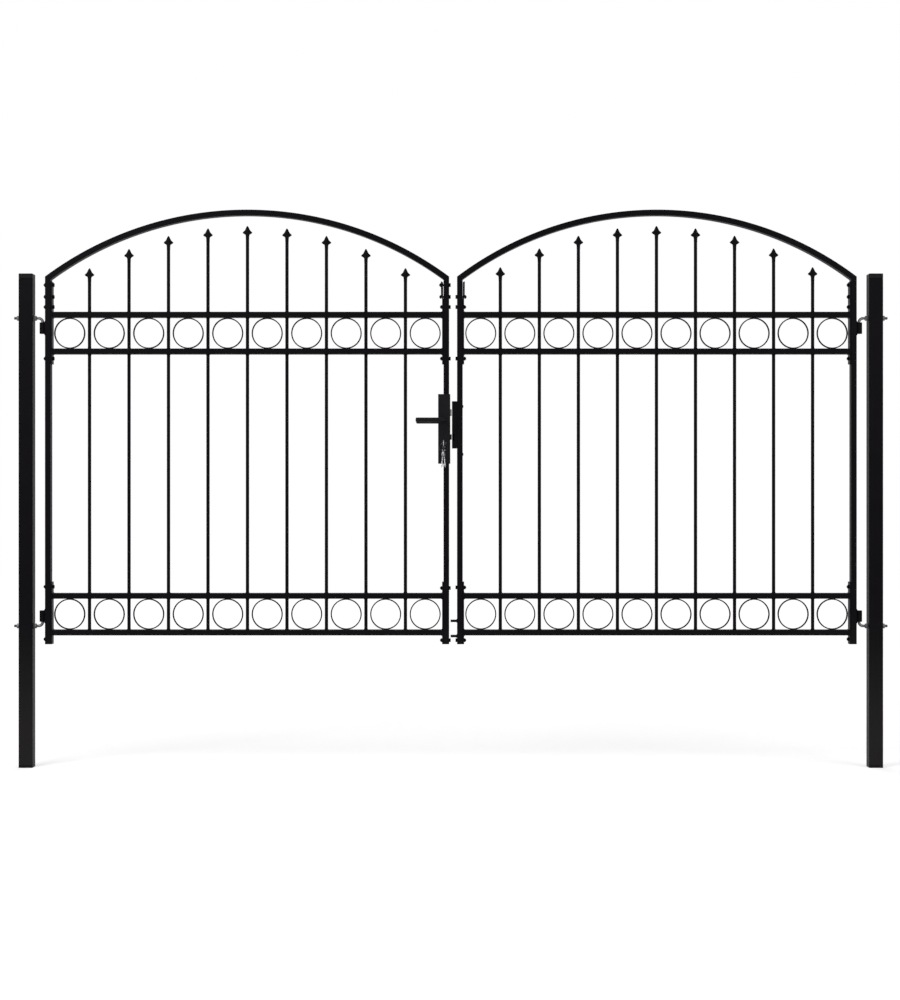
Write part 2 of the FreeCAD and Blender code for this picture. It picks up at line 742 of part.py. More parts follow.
BAR_COUNT = int(value("barCount"))
spear_head = build_spear_head()
ring = build_ring()
bush = build_bush()
stile_plug = build_end_cap(
    "stile_plug_pattern", ("tubeWide", "tubeDeep"), "tubeWall", "tubeCorner", "plugRim", "capPlug"
)
leaf_nodes = []
for side, leaf in LEAVES.items():
    width = leaf["width"]
    hinge_stile = place_leaf(build_stile(f"{side}_hinge_stile", width, True), side)
    lock_stile = build_stile(f"{side}_lock_stile", width, False)
    if side == "left":
        lock_stile.Label = "left_lock_stile_tube"
        gap = box(
            "lock_case_gap", "tubeWide", "tubeDeep", "caseTop - caseFoot",
            f"{width} - tubeWide", "-tubeDeep / 2", "caseFoot",
        )
        lock_stile = cut("left_lock_stile", lock_stile, gap)
        lock_stile.Label = "left_lock_stile"
    leaf_nodes += [
        hinge_stile,
        place_leaf(lock_stile, side),
        place_leaf(build_arch(f"{side}_arch", width), side),
        *build_rails(side, width),
        build_balusters(side, width),
        build_spear_heads(side, width),
        build_rings(side, "upper", width),
        build_rings(side, "lower", width),
        build_side_plates(side, width),
        build_hinge_bushes(side),
        build_stile_plugs(side, width),
    ]

# ---------------------------------------------------------------------- lock

CASE_FACE = "(postWide / 2 + hingeGap + leftLeafWidth + caseProud)"
CASE_BACK = f"({CASE_FACE} - caseWide)"
SPINDLE_X = f"({CASE_FACE} - spindleInset)"
PLATE_FACE = "(tubeDeep / 2 + facePlateThick)"


def along_y(name, across, half_long, x, z, sides="roundSides"):
    """A many-sided bar that runs front to back through the lock."""
    return prism(name, sides, across, f"2 * ({half_long})", x, half_long, z, turn=(RIGHT, 90))


def cylinder_profile(name, half_long, play):
    """The euro profile: a round barrel over a flat-sided lower part."""
    across = f"cylinderDiameter + 2 * ({play})"
    barrel = along_y(name + "_barrel", across, half_long, SPINDLE_X, "cylinderHeight")
    lower = box(
        name + "_lower",
        f"cylinderThick + 2 * ({play})", f"2 * ({half_long})", "cylinderTall - cylinderDiameter / 2",
        f"{SPINDLE_X} - cylinderThick / 2 - ({play})", f"-({half_long})",
        f"cylinderHeight + cylinderDiameter / 2 - cylinderTall - ({play})",
    )
    return fuse(name, [barrel, lower])


def bolt_channel(name, bolt, travel):
    """The channel that a bolt slides in, open at the gap face."""
    long = f"{bolt}Long - boltProud + {travel} + channelRoom"
    foot = f"{bolt}Middle - {bolt}Tall / 2 - boltPlay"
    return box(
        name, long, "boltDeep + 2 * boltPlay", f"{bolt}Tall + 2 * boltPlay",
        f"{CASE_FACE} - ({long})", "-boltDeep / 2 - boltPlay", foot,
    )


through_lock = fuse(
    "lock_openings",
    [
        bolt_channel("latch_channel", "latch", "latchTravel"),
        bolt_channel("dead_bolt_channel", "deadBolt", "0"),
        along_y("spindle_way", "spindleHole", "postWide", SPINDLE_X, "spindleHeight", "barSides"),
        cylinder_profile("cylinder_way", "postWide", "plugPlay"),
    ],
)
case_blank = box(
    "lock_case_blank", "caseWide", "tubeDeep", "caseTop - caseFoot", CASE_BACK, "-tubeDeep / 2", "caseFoot"
)
lock_case = cut("lock_case", case_blank, through_lock)
faceplate_blanks = together(
    "faceplate_blanks",
    [
        box(
            f"{face}_faceplate", "caseWide", "facePlateThick", "caseTop - caseFoot + 2 * facePlateLap",
            CASE_BACK, y, "caseFoot - facePlateLap",
        )
        for face, y in (("front", f"-{PLATE_FACE}"), ("rear", "tubeDeep / 2"))
    ],
)
lock_faceplates = cut("lock_faceplates", faceplate_blanks, through_lock)
lock_cylinder = cylinder_profile("lock_cylinder", f"{PLATE_FACE} + cylinderProud", "0")


SIDE_EDGES = 4


def build_lever(face, sign):
    """A straight lever: a neck from the faceplate and a grip with eased ends."""
    y = f"{sign} * ({PLATE_FACE} + leverStand)"
    grip = new_body(f"{face}_grip")
    bar = grip.newObject("PartDesign::AdditivePrism", f"{face}_grip_bar")
    across = "leverDiameter / (2 * cos(180 / roundSides))"
    bind(bar, Polygon="roundSides", Circumradius=across, Height="leverReach + leverDiameter / 2")
    grip.Tip = bar
    doc.recompute()
    faces = enumerate(bar.Shape.Faces, start=1)
    ends = [f"Face{number}" for number, flat in faces if len(flat.Edges) > SIDE_EDGES]
    ease_edges(grip, f"{face}_grip_ends", "leverEnd", ends)
    move(grip, "leverDiameter / 2", y, turn=(BACK, -90))
    neck_foot = f"{PLATE_FACE} + leverClear" if sign > 0 else f"-({PLATE_FACE} + leverStand)"
    neck_long = "leverStand - leverClear"
    neck = prism(f"{face}_neck", "roundSides", "leverNeck", neck_long, y=neck_foot, turn=(RIGHT, -90))
    return fuse(f"{face}_lever", [grip, neck])


SPINDLE_END = f"({PLATE_FACE} + 2 * leverClear)"
spindle = box(
    "lever_spindle", "spindleSide", f"2 * {SPINDLE_END}", "spindleSide",
    "-spindleSide / 2", f"-{SPINDLE_END}", "-spindleSide / 2",
)
lever_handle = fuse("lever_handle", [build_lever("front", -1), build_lever("rear", 1), spindle])
move(lever_handle, SPINDLE_X, z="spindleHeight")

latch_bolt = new_body("latch_bolt")
latch_outline = new_sketch(latch_bolt, "latch_outline", "XY_Plane")
draw_polygon(
    latch_outline,
    [
        ("-latchLong", "-boltDeep / 2"),
        ("0", "-boltDeep / 2"),
        ("-boltDeep / 2", "boltDeep / 2"),
        ("-latchLong", "boltDeep / 2"),
    ],
)
pad(latch_bolt, "latch_bar", latch_outline, "latchTall")
move(latch_bolt, f"{CASE_FACE} + boltProud", z="latchMiddle")

dead_bolt = box(
    "dead_bolt", "deadBoltLong", "boltDeep", "deadBoltTall",
    f"{CASE_FACE} + boltProud - deadBoltLong", "-boltDeep / 2", "deadBoltMiddle - deadBoltTall / 2",
)

# ---------------------------------------------------------------------- keys

KEY_FACE = f"({PLATE_FACE} + cylinderProud)"
BOW_Y = f"(-{KEY_FACE} - keyShank - keyBow / 2)"
HANG_Y = f"({BOW_Y} - keyHoleInset)"


def build_key(name, long):
    """A flat key in the YZ plane: a round bow, pierced, on a straight blade."""
    bow = prism(name + "_bow", "barSides", "keyBow", "keyThick", "-keyThick / 2", turn=(BACK, 90))
    blade = box(name + "_blade", "keyThick", long, "keyShank", "-keyThick / 2", z="-keyShank / 2")
    hole = prism(
        name + "_hole", "barSides", "keyHole", "2 * keyThick", "-keyThick", "-keyHoleInset",
        turn=(BACK, 90),
    )
    return cut(name, fuse(name + "_blank", [bow, blade]), hole)


lock_key = build_key("lock_key", "keyShank + keyBow / 2")
move(lock_key, SPINDLE_X, BOW_Y, "cylinderHeight")
RING_TOP = "(cylinderHeight - hangDrop)"
ring_faces = [
    along_y(f"key_ring_{face}", across, "keyRingWire / 2", "0", "0")
    for face, across in (
        ("outside", "keyRingDiameter + keyRingWire"), ("inside", "keyRingDiameter - keyRingWire"),
    )
]
key_ring = cut("key_ring", *ring_faces)
move(key_ring, SPINDLE_X, HANG_Y, f"{RING_TOP} - keyRingDiameter / 2")
spare_key = build_key("spare_key_pattern", "spareKeyLong - keyBow / 2")
hanging = copy_of(spare_key, "spare_key_turned", z="-hangDrop - keyHoleInset", turn=(RIGHT, -90))
spare_hang = together("spare_key_hanging", [hanging])
spare_keys = together(
    "spare_keys",
    [
        copy_of(
            spare_hang, f"{place}_spare_key",
            f"{SPINDLE_X} + {sign} * spareKeySpread", HANG_Y, f"{RING_TOP} - keyRingDiameter + hangLift",
            turn=(BACK, -sign * value("spareKeySplay")),
        )
        for place, sign in (("left", -1), ("right", 1))
    ],
)

# ------------------------------------------------------------ strike and lugs

STRIKE_BACK = "(postWide / 2 + hingeGap + leftLeafWidth + leafGap)"
BESIDE_BOLT = "(boltDeep / 2 + strikePlay)"


def strike_pocket(name, bolt, deep, front):
    """Room for a bolt in the strike's face, from a front depth to just behind the bolt."""
    foot = f"{bolt}Middle - {bolt}Tall / 2 - strikePlay"
    return box(
        name, deep, f"{BESIDE_BOLT} + {front}", f"{bolt}Tall + 2 * strikePlay",
        f"{STRIKE_BACK} - strikeProud", f"-{front}", foot,
    )


strike_blank = box(
    "strike_blank", "strikeProud", "tubeDeep", "strikeTop - strikeFoot",
    f"{STRIKE_BACK} - strikeProud", "-tubeDeep / 2", "strikeFoot",
)
strike_pockets = fuse(
    "strike_pockets",
    [
        strike_pocket("latch_pocket", "latch", "strikeDepth", BESIDE_BOLT),
        strike_pocket("dead_bolt_pocket", "deadBolt", "strikeDepth", BESIDE_BOLT),
        strike_pocket("dead_bolt_notch", "deadBolt", "notchDepth", "tubeDeep / 2"),
    ],
)
strike_box = cut("strike_box", strike_blank, strike_pockets)


def build_lug(name, foot):
    """A drilled lug on the right lock stile."""
    end = f"{STRIKE_BACK} - lugLong"
    blank = box(name + "_blank", "lugLong", "lugDeep", "lugTall", end, "-lugDeep / 2", foot)
    middle = f"{STRIKE_BACK} - lugLong + lugDeep / 2"
    hole = prism(name + "_hole", "barSides", "lugHole", "lugTall", middle, z=foot)
    return cut(name, blank, hole)


guide_lugs = together(
    "guide_lugs", [build_lug("upper_lug", "upperLugFoot"), build_lug("lower_lug", "lowerLugFoot")]
)

# --------------------------------------------------------------------- write

nodes = [
    *posts, post_caps, post_foot_caps, hook_bolts, hook_bolt_nuts, *leaf_nodes,
    lock_case, lock_faceplates, lock_cylinder, lock_key, lever_handle, latch_bolt, dead_bolt,
    key_ring, spare_keys, strike_box, guide_lugs,
]
doc.recompute()

for piece in doc.Objects:
    if {"Invalid", "Error"} & set(piece.State):
        raise RuntimeError(f"{piece.Label} did not build: {piece.State}")
for node in nodes:
    shape = node.Shape
    if shape.isNull() or not shape.isValid():
        raise RuntimeError(f"{node.Label} is not a valid shape")

os.makedirs("parts", exist_ok=True)
for node in nodes:
    node.Shape.exportStep(f"parts/{node.Label}.step")
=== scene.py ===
"""Surfaces, finishes and stage of an arched double gate, built over its CAD frame.

Lengths are metres.  +X runs from the left post to the right one, -Y is the key side, +Z is up, and
the left post's foot is centred on the origin.  A leaf is drawn in its own axes, x from the outer
face of its hinge stile towards the other leaf.
"""

import bmesh
import bpy
import numpy as np
from bpy.props import FloatProperty, FloatVectorProperty, PointerProperty
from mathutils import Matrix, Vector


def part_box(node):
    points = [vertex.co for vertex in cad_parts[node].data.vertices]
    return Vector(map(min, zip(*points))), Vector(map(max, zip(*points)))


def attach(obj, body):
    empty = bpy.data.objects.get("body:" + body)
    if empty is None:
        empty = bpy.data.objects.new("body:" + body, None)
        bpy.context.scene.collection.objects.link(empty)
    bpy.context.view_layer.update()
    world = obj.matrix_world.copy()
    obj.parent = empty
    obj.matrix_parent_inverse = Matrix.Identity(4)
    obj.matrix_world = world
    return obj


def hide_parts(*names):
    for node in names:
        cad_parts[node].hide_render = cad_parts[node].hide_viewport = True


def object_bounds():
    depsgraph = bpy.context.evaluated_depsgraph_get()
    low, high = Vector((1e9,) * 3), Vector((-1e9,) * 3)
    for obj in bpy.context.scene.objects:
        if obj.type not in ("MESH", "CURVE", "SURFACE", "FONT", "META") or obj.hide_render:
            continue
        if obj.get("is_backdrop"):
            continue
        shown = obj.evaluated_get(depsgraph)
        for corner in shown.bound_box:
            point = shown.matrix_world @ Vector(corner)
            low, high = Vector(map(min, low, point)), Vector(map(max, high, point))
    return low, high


bl_info = {
    "name": "Arched double gate",
    "version": (1, 0, 0),
    "blender": (4, 5, 0),
    "location": "3D View > Sidebar > Gate",
    "description": "Builds the visible surfaces, the finishes and the stage of an arched double gate",
    "category": "Object",
}

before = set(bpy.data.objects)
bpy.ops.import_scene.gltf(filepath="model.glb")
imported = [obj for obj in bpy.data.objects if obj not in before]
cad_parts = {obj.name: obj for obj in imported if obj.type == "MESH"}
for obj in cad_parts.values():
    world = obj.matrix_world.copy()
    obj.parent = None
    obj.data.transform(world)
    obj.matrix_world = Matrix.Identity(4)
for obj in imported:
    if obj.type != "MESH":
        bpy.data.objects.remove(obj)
cad_low, cad_high = (list(corner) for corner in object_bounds())

RIGHT, BACK, UP = np.eye(3, dtype=int)
LEFT, FRONT, DOWN = -RIGHT, -BACK, -UP
SAWN, FILED, MOULDED = 0.0004, 0.0006, 0.0008  # rounding of a tube's end, a flat bar's edge, plastic
SIDES = ("left", "right")
LEVELS = ("upper", "lower")
COAT, ENAMEL, ZINC = "black_powder_coat", "black_enamel", "zinc_plated_steel"
STEEL, OXIDE, PLASTIC = "bright_steel", "blackened_steel", "black_plastic"


def box(node):
    """Lowest and highest corner of a CAD node."""
    return np.array(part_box(node))


def linear(hex_colour):
    """Linear red, green and blue of an sRGB hex value, by the sRGB curve."""
    channels = np.array([int(hex_colour[start : start + 2], 16) for start in (1, 3, 5)]) / 255
    curve = np.where(channels <= 0.04045, channels / 12.92, ((channels + 0.055) / 1.055) ** 2.4)
    return tuple(curve.tolist())


# --- settings


def amount(name, description, default, unit="LENGTH"):
    """A property in metres, or in another unit."""
    return FloatProperty(name=name, description=description, default=default, min=0, unit=unit, precision=4)


def colour(name, description, hex_colour):
    """A colour property whose default is an sRGB hex value."""
    return FloatVectorProperty(
        name=name, description=description, default=linear(hex_colour), min=0, max=1, subtype="COLOR"
    )


class GateSizes(bpy.types.PropertyGroup):
    """Sizes that the frame leaves open"""

    post_corner: amount("Post corner", "Corner radius of the post tube", 0.003)
    tube_wide: amount("Leaf tube width", "Leaf tube seen from the front", 0.020)
    tube_deep: amount("Leaf tube depth", "Leaf tube seen from the side", 0.035)
    tube_corner: amount("Leaf tube corner", "Corner radius of stiles, arches and rails", 0.002)
    cap_rim: amount("Cap rim", "Visible height of a post cap", 0.018)
    shoulder: amount("Shoulder", "Height of the outer corner of stile and arch", 1.740)
    head_tall: amount("Spear head", "Height of a spear head", 0.048)
    head_wide: amount("Spear head width", "Spear head over its barbs", 0.035)
    ring_strip: amount("Ring strip", "Thickness of a ring's strip", 0.0041)
    plate_thick: amount("Side plate", "Thickness of a side plate", 0.005)
    plate_bend: amount("Plate bend", "Height at which a lock stile's plate starts to lean", 1.662)
    left_lean: amount("Left plate lean", "Its stand-off at the top of the left leaf", 0.0045)
    right_lean: amount("Right plate lean", "Its stand-off at the top of the right leaf", 0.0027)
    weld: amount("Weld", "Leg of a fillet weld", 0.003)
    rod_radius: amount("Hook bolt", "Radius of a hook bolt", 0.005)
    bend: amount("Hook bolt bend", "Radius of a hook bolt's bend on its centre line", 0.014)
    nut_flats: amount("Nut", "Hexagon nut over its flats", 0.017)
    washer_wide: amount("Washer", "Washer over its rim", 0.022)
    bush_tall: amount("Hinge bush", "Height of a hinge bush", 0.040)
    bush_radius: amount("Hinge bush radius", "Radius of a hinge bush", 0.011)
    bolt_flats: amount("Plate bolt", "Plate bolt's hexagon over its flats", 0.013)
    lever_thick: amount("Lever", "Diameter of the lever bar", 0.0166)
    lever_neck: amount("Lever neck", "Diameter of the lever's neck", 0.0145)
    lug_hole: amount("Lug hole", "Diameter of a guide lug's hole", 0.012)


class GateColours(bpy.types.PropertyGroup):
    """Colours of the finishes"""

    coat: colour("Powder coat", "Black powder coat of posts and leaves", "#0B090C")
    # Painted bounce light: a pale tint mixed into the black coat towards the ground, standing in for light
    # bounced up off the floor.
    painted_bounce_light: colour("Painted_bounce_light", "Road dust on the coat near the ground", "#A39F9A")
    enamel: colour("Enamel", "Black enamel of the lock's plates and lever", "#141215")
    zinc: colour("Zinc plating", "Hook bolts and their nuts", "#6A696C")
    steel: colour("Key steel", "Keys and latch", "#AAAAAD")
    oxide: colour("Black oxide", "Lock cylinder, dead bolt and key ring", "#1B1A1C")
    plastic: colour("Black plastic", "Caps and plugs", "#0F0E10")


class GateStage(bpy.types.PropertyGroup):
    """Camera, lamps and floor"""

    distance: amount("Camera distance", "Camera to the gate's middle plane", 7.160)
    camera_x: amount("Camera x", "Camera along the gate", 1.502)
    camera_height: amount("Camera height", "Camera above the ground", 0.948)
    lens: amount("Lens", "Focal length in mm on a 36 mm side", 72.6, "NONE")
    key_power: amount("Key lamp", "Power of the key lamp", 195, "POWER")
    fill_power: amount("Fill lamps", "Power of each fill lamp", 90, "POWER")
    sky: amount("Ambient", "Strength of the light from all round", 0.30, "NONE")
    floor: colour("Floor", "Colour of the floor", "#EDEDED")


# --- forms
# A form is an array of points and a list of arrays of faces, one row of point numbers for each
# face.  An outline is a closed line in the xy plane: its points and its outward normals.


def around(sides):
    """Angles spread evenly over a full turn."""
    return np.linspace(0, 2 * np.pi, sides, endpoint=False)


def quarter(count):
    """Angles from 0 to a right angle."""
    return np.linspace(0, np.pi / 2, count)


def unit(angles):
    """The cosine and sine of each angle."""
    return np.stack([np.cos(angles), np.sin(angles)], axis=-1)


def form_of(grid, wrap=False):
    """A form from a grid of points, rows by columns, whose columns close on themselves.

    A face joins four neighbours.  Open rows are closed by one flat face at each end.
    """
    rows, columns = grid.shape[:2]
    index = np.arange(rows * columns).reshape(rows, columns)
    if wrap:
        index = np.vstack([index, index[:1]])
    beside = np.roll(index, -1, axis=1)
    quads = np.stack([index[:-1], beside[:-1], beside[1:], index[1:]], axis=-1).reshape(-1, 4)
    faces = [quads] if wrap else [quads, index[:1, ::-1], index[-1:]]
    return grid.reshape(-1, 3), faces


def lofted(flat, heights, wrap=False):
    """A form of rows of flat points, each row at its height."""
    grid = np.broadcast_arrays(flat[..., 0], flat[..., 1], np.reshape(heights, (-1, 1)))
    return form_of(np.stack(grid, axis=-1), wrap)


def joined(forms):
    """Several forms as one: point numbers move on by the points before them."""
    points, faces, start = [], [], 0
    for form_points, form_faces in forms:
        points.append(form_points)
        faces += [group + start for group in form_faces]
        start += len(form_points)
    return np.vstack(points), faces


def repeated(form, places):
    """A form once at each place: points plus place."""
    points, faces = form
    places = np.asarray(places, float)
    steps = np.arange(len(places)) * len(points)
    moved = (points[None] + places[:, None]).reshape(-1, 3)
    return moved, [(group[None] + steps[:, None, None]).reshape(-1, group.shape[1]) for group in faces]


def stood(form, x_axis=RIGHT, y_axis=BACK, z_axis=UP, at=(0, 0, 0)):
    """A form on three given axes: x times the first, plus y times the second, plus z times the third."""
    points, faces = form
    return points @ np.array([x_axis, y_axis, z_axis], float) + np.array(at, float), faces


def rectangle(wide, deep, corner, steps=4):
    """Outline of a rectangle with quarter-circle corners: corner centre plus radius times (cos, sin)."""
    normals = unit((quarter(steps + 1) + np.arange(4)[:, None] * np.pi / 2).ravel())
    signs = np.repeat([[1, 1], [-1, 1], [-1, -1], [1, -1]], steps + 1, axis=0)
    return signs * [wide / 2 - corner, deep / 2 - corner] + corner * normals, normals


def circle(radius, sides):
    """Outline of a circle: radius times (cos, sin)."""
    normals = unit(around(sides))
    return radius * normals, normals


def bar(outline, foot, head, ease=0.0, steps=3):
    """An outline carried straight up from foot to head, its end rims rounded.

    Near each end the outline draws in along its normals by ease times (1 - sin a), while its height
    moves by ease times (1 - cos a), with a from 0 to a right angle.
    """
    line, normals = outline
    turn = quarter(steps + 1) if ease else np.array([np.pi / 2])
    inset, rise = ease * (1 - np.sin(turn)), ease * (1 - np.cos(turn))
    insets = np.r_[inset, inset[::-1]]
    heights = np.r_[foot + rise, head - rise[::-1]]
    return lofted(line - insets[:, None, None] * normals, heights)


def slab(low, high, corner, steps=3):
    """A box between two corners, all its edges rounded to one radius."""
    low, high = np.array(low), np.array(high)
    wide, deep, tall = high - low
    outline = rectangle(wide, deep, corner, steps)
    return stood(bar(outline, -tall / 2, tall / 2, corner, steps), at=(low + high) / 2)


def turned(radii, heights, sides, wrap=False):
    """A profile turned about the upright axis: radius times cos and sin of the angle, and height."""
    return lofted(np.reshape(radii, (-1, 1, 1)) * unit(around(sides)), heights, wrap)


def tube(path, sideways, radii, sides):
    """A round bar along a path: centre plus radius times (cos * sideways + sin * tangent x sideways).

    The path lies in the plane that sideways is at right angles to.  Radii hold one value for each
    point of the path, or one for each point and side.
    """
    tangent = np.gradient(path, axis=0)
    tangent /= np.linalg.norm(tangent, axis=1, keepdims=True)
    sideways = np.broadcast_to(sideways, path.shape)
    turn = unit(around(sides))
    ring = turn[:, :1] * sideways[:, None] + turn[:, 1:] * np.cross(tangent, sideways)[:, None]
    return form_of(path[:, None] + np.reshape(radii, (len(path), -1, 1)) * ring)


def hexagon(flats, thick):
    """A nut or bolt head on z = 0, with a cone cut round each end.

    The radius is the lesser of flats / 2 / cos(angle off a flat) and the cone's.
    """
    angles = around(48)
    off_flat = (angles + np.pi / 6) % (np.pi / 3) - np.pi / 6
    rise = np.linspace(0, flats * 0.08, 4)
    cone = flats * 0.47 + np.r_[rise, rise[::-1]] * 1.7
    radii = np.minimum(flats / 2 / np.cos(off_flat), cone[:, None])
    return lofted(radii[..., None] * unit(angles), np.r_[rise, thick - rise[::-1]])


def bead(outline, leg, sides=8):
    """A weld bead along an outline: a small round bar whose radius swells and shrinks by sines."""
    line, normals = outline
    along = around(len(line))
    radius = leg * (0.62 + 0.08 * np.sin(9 * along) + 0.05 * np.sin(23 * along + 1))
    turn = unit(-around(sides))
    path, out = (np.pad(flat, ((0, 0), (0, 1)))[:, None] for flat in (line, normals))
    return form_of(path + radius[:, None, None] * (turn[:, :1] * out + turn[:, 1:] * UP), wrap=True)


def drilled_plate(right, half, hole, thick):
    """A square plate, longer to the right, on z = 0, with a round hole about the upright axis.

    At each angle the outline lies where the ray from the hole's centre meets the nearest side: one
    side at right, the others at half.
    """
    corners = np.arctan2([half, half, -half, -half], [right, -half, -half, right]) % (2 * np.pi)
    ray = unit(np.unique(np.round(np.r_[around(48), corners], 6)))
    sides = np.where(ray > 0, [right, half], half)
    line = ray * (sides / np.maximum(np.abs(ray), 1e-9)).min(axis=1, keepdims=True)
    rim = 0.0005
    insets, heights = (rim, 0, 0, rim), (0, rim, thick - rim, thick)
    flat = [line - inset * ray for inset in insets] + [(hole + inset) * ray for inset in insets]
    return lofted(np.array(flat), heights + heights[::-1], wrap=True)


def blob(long, wide, tall, sides=10):
    """A lump of weld: a flattened dome, radius by cosine and height by sine, its foot sunk a little."""
    rise = np.radians([-50, 0, 30, 60, 82])
    points, faces = turned(np.cos(rise), np.sin(rise), sides)
    return points * [long / 2, wide / 2, tall], faces


# --- placing


def linked(name, data):
    """A new object in the scene."""
    made = bpy.data.objects.new(name, data)
    bpy.context.scene.collection.objects.link(made)
    return made


def placed(name, mesh, finish, body, nodes, crease):
    """An object of a mesh, with its finish, on its body, in the place of CAD nodes."""
    mesh.shade_smooth()
    mesh.set_sharp_from_angle(angle=np.radians(crease))
    mesh.materials.append(material(finish))
    piece = linked(name, mesh)
    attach(piece, body)
    if nodes:
        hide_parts(*nodes)
    return piece


def make_piece(name, form, finish, body, nodes=(), crease=35):
    """A piece of a form, in the place of CAD nodes."""
    points, faces = form
    mesh = bpy.data.meshes.new(name)
    mesh.from_pydata(points.tolist(), [], [face for group in faces for face in group.tolist()])
    piece = placed(name, mesh, finish, body, nodes, crease)
    piece.modifiers.new("flat faces stay flat", "WEIGHTED_NORMAL").keep_sharp = True


def leaf_piece(side, name, form, nodes=(), finish=COAT, crease=35, own_axes=True):
    """A piece that rides on a leaf, drawn in its axes or not; the side goes before all its names."""
    nodes = [f"{side}_{node}" for node in nodes]
    form = in_leaf(form, side) if own_axes else form
    make_piece(f"{side}_{name}", form, finish, f"{side}_leaf", nodes, crease)


def softened(name, node, finish, body, edge=0.0008):
    """A CAD node's shape with its loose triangles merged and its edges rounded, in the node's place."""
    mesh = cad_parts[node].data.copy()
    mesh.name = name
    mesh.materials.clear()
    shape = bmesh.new()
    shape.from_mesh(mesh)
    bmesh.ops.remove_doubles(shape, verts=shape.verts, dist=1e-6)
    bmesh.ops.dissolve_limit(shape, angle_limit=0.02, verts=shape.verts, edges=shape.edges)
    shape.to_mesh(mesh)
    shape.free()
    rounding = placed(name, mesh, finish, body, (node,), 35).modifiers.new("rounded edges", "BEVEL")
    rounding.width, rounding.segments = edge, 3
    rounding.limit_method, rounding.angle_limit = "ANGLE", np.radians(30)
    rounding.harden_normals = True


def in_leaf(form, side):
    """A form from a leaf's axes at its place: the right leaf is turned half round."""
    low, high = box(f"{side}_hinge_stile")
    if side == "left":
        return stood(form, at=(low[0], 0, 0))
    return mirrored(form, high[0])


def mirrored(form, width):
    """A form turned half round about the leaf's middle: x becomes width less x, and y changes sign."""
    return stood(form, LEFT, FRONT, UP, (width, 0, 0))


def leaf_width(side):
    """Leaf width over its stiles."""
    return np.ptp([box(f"{side}_{end}_stile")[:, 0] for end in ("hinge", "lock")])


def leaf_outline(sizes):
    """Outline of a leaf's tube, its width along x."""
    return rectangle(sizes.tube_wide, sizes.tube_deep, sizes.tube_corner, 5)


def baluster_tops(side, sizes):
    """Where each baluster ends and its spear head begins; the heads' tips lie on an arc.

    A tip's height is crown - radius + sqrt(radius squared - offset squared), with the offset from
    the leaf's middle and the radius from chord and sag.
    """
    over_all, bar_wide, _ = np.ptp(box(f"{side}_balusters"), axis=0)
    half = (over_all - bar_wide) / 2
    offsets = np.linspace(-half, half, 9)
    foot, crown = box(f"{side}_spear_heads")[:, 2]
    sag = crown - foot - sizes.head_tall
    radius = (half**2 + sag**2) / (2 * sag)
    height = crown - radius + np.sqrt(radius**2 - offsets**2) - sizes.head_tall
    return np.c_[leaf_width(side) / 2 + offsets, 0 * offsets, height]


# --- materials

# For each finish: its colour, the share by which it varies, the size in mm of its patches and its
# grain, the strength of the grain, the limits of its roughness, and values of its shader.
FINISHES = {
    # Polyester powder, sprayed and baked on steel: satin, with fine orange peel and faint cloudiness.
    COAT: ("coat", 0.18, 70, 1.6, 0.06, (0.40, 0.50), {"Specular_IOR_Level": 0.035}),
    # Stoved enamel on pressed steel: smoother than the powder coat, with slight handling marks.
    ENAMEL: ("enamel", 0.12, 25, 0.9, 0.08, (0.34, 0.44), {"Specular_IOR_Level": 0.07}),
    # Zinc-plated cold-drawn steel: dull grey metal with cloudy patches a few millimetres wide.
    ZINC: ("zinc", 0.22, 6, 0.5, 0.3, (0.42, 0.58), {"Metallic": 1}),
    # Nickel-plated key blank, tumbled: bright grey metal with fine scratches.
    STEEL: ("steel", 0.10, 5, 0.3, 0.08, (0.42, 0.52), {"Metallic": 1}),
    # Black-oxide steel, lightly oiled: dark grey metal with brighter rubbed patches.
    OXIDE: ("oxide", 0.35, 6, 0.4, 0.3, (0.35, 0.55), {"Metallic": 0.6}),
    # Polyethylene, injection moulded with a fine spark-eroded grain: matt black.
    PLASTIC: ("plastic", 0.1, 30, 0.7, 0.2, (0.46, 0.58), {"Specular_IOR_Level": 0.08}),
}
MATERIALS = {}


def add(tree, kind, links=(), **settings):
    """A node with its settings and its links.

    A setting names a property, or an input with _ for a space.  A link is (input, output).
    """
    node = tree.nodes.new(kind)
    for name, setting in settings.items():
        socket = node.inputs.get(name.replace("_", " "))
        if socket is not None:
            socket.default_value = setting
        else:
            setattr(node, name, setting)
    for name, output in links:
        tree.links.new(output, node.inputs[name])
    return node


def emptied(data):
    """The empty node tree of a material or a world."""
    data.use_nodes = True
    data.node_tree.nodes.clear()
    return data.node_tree


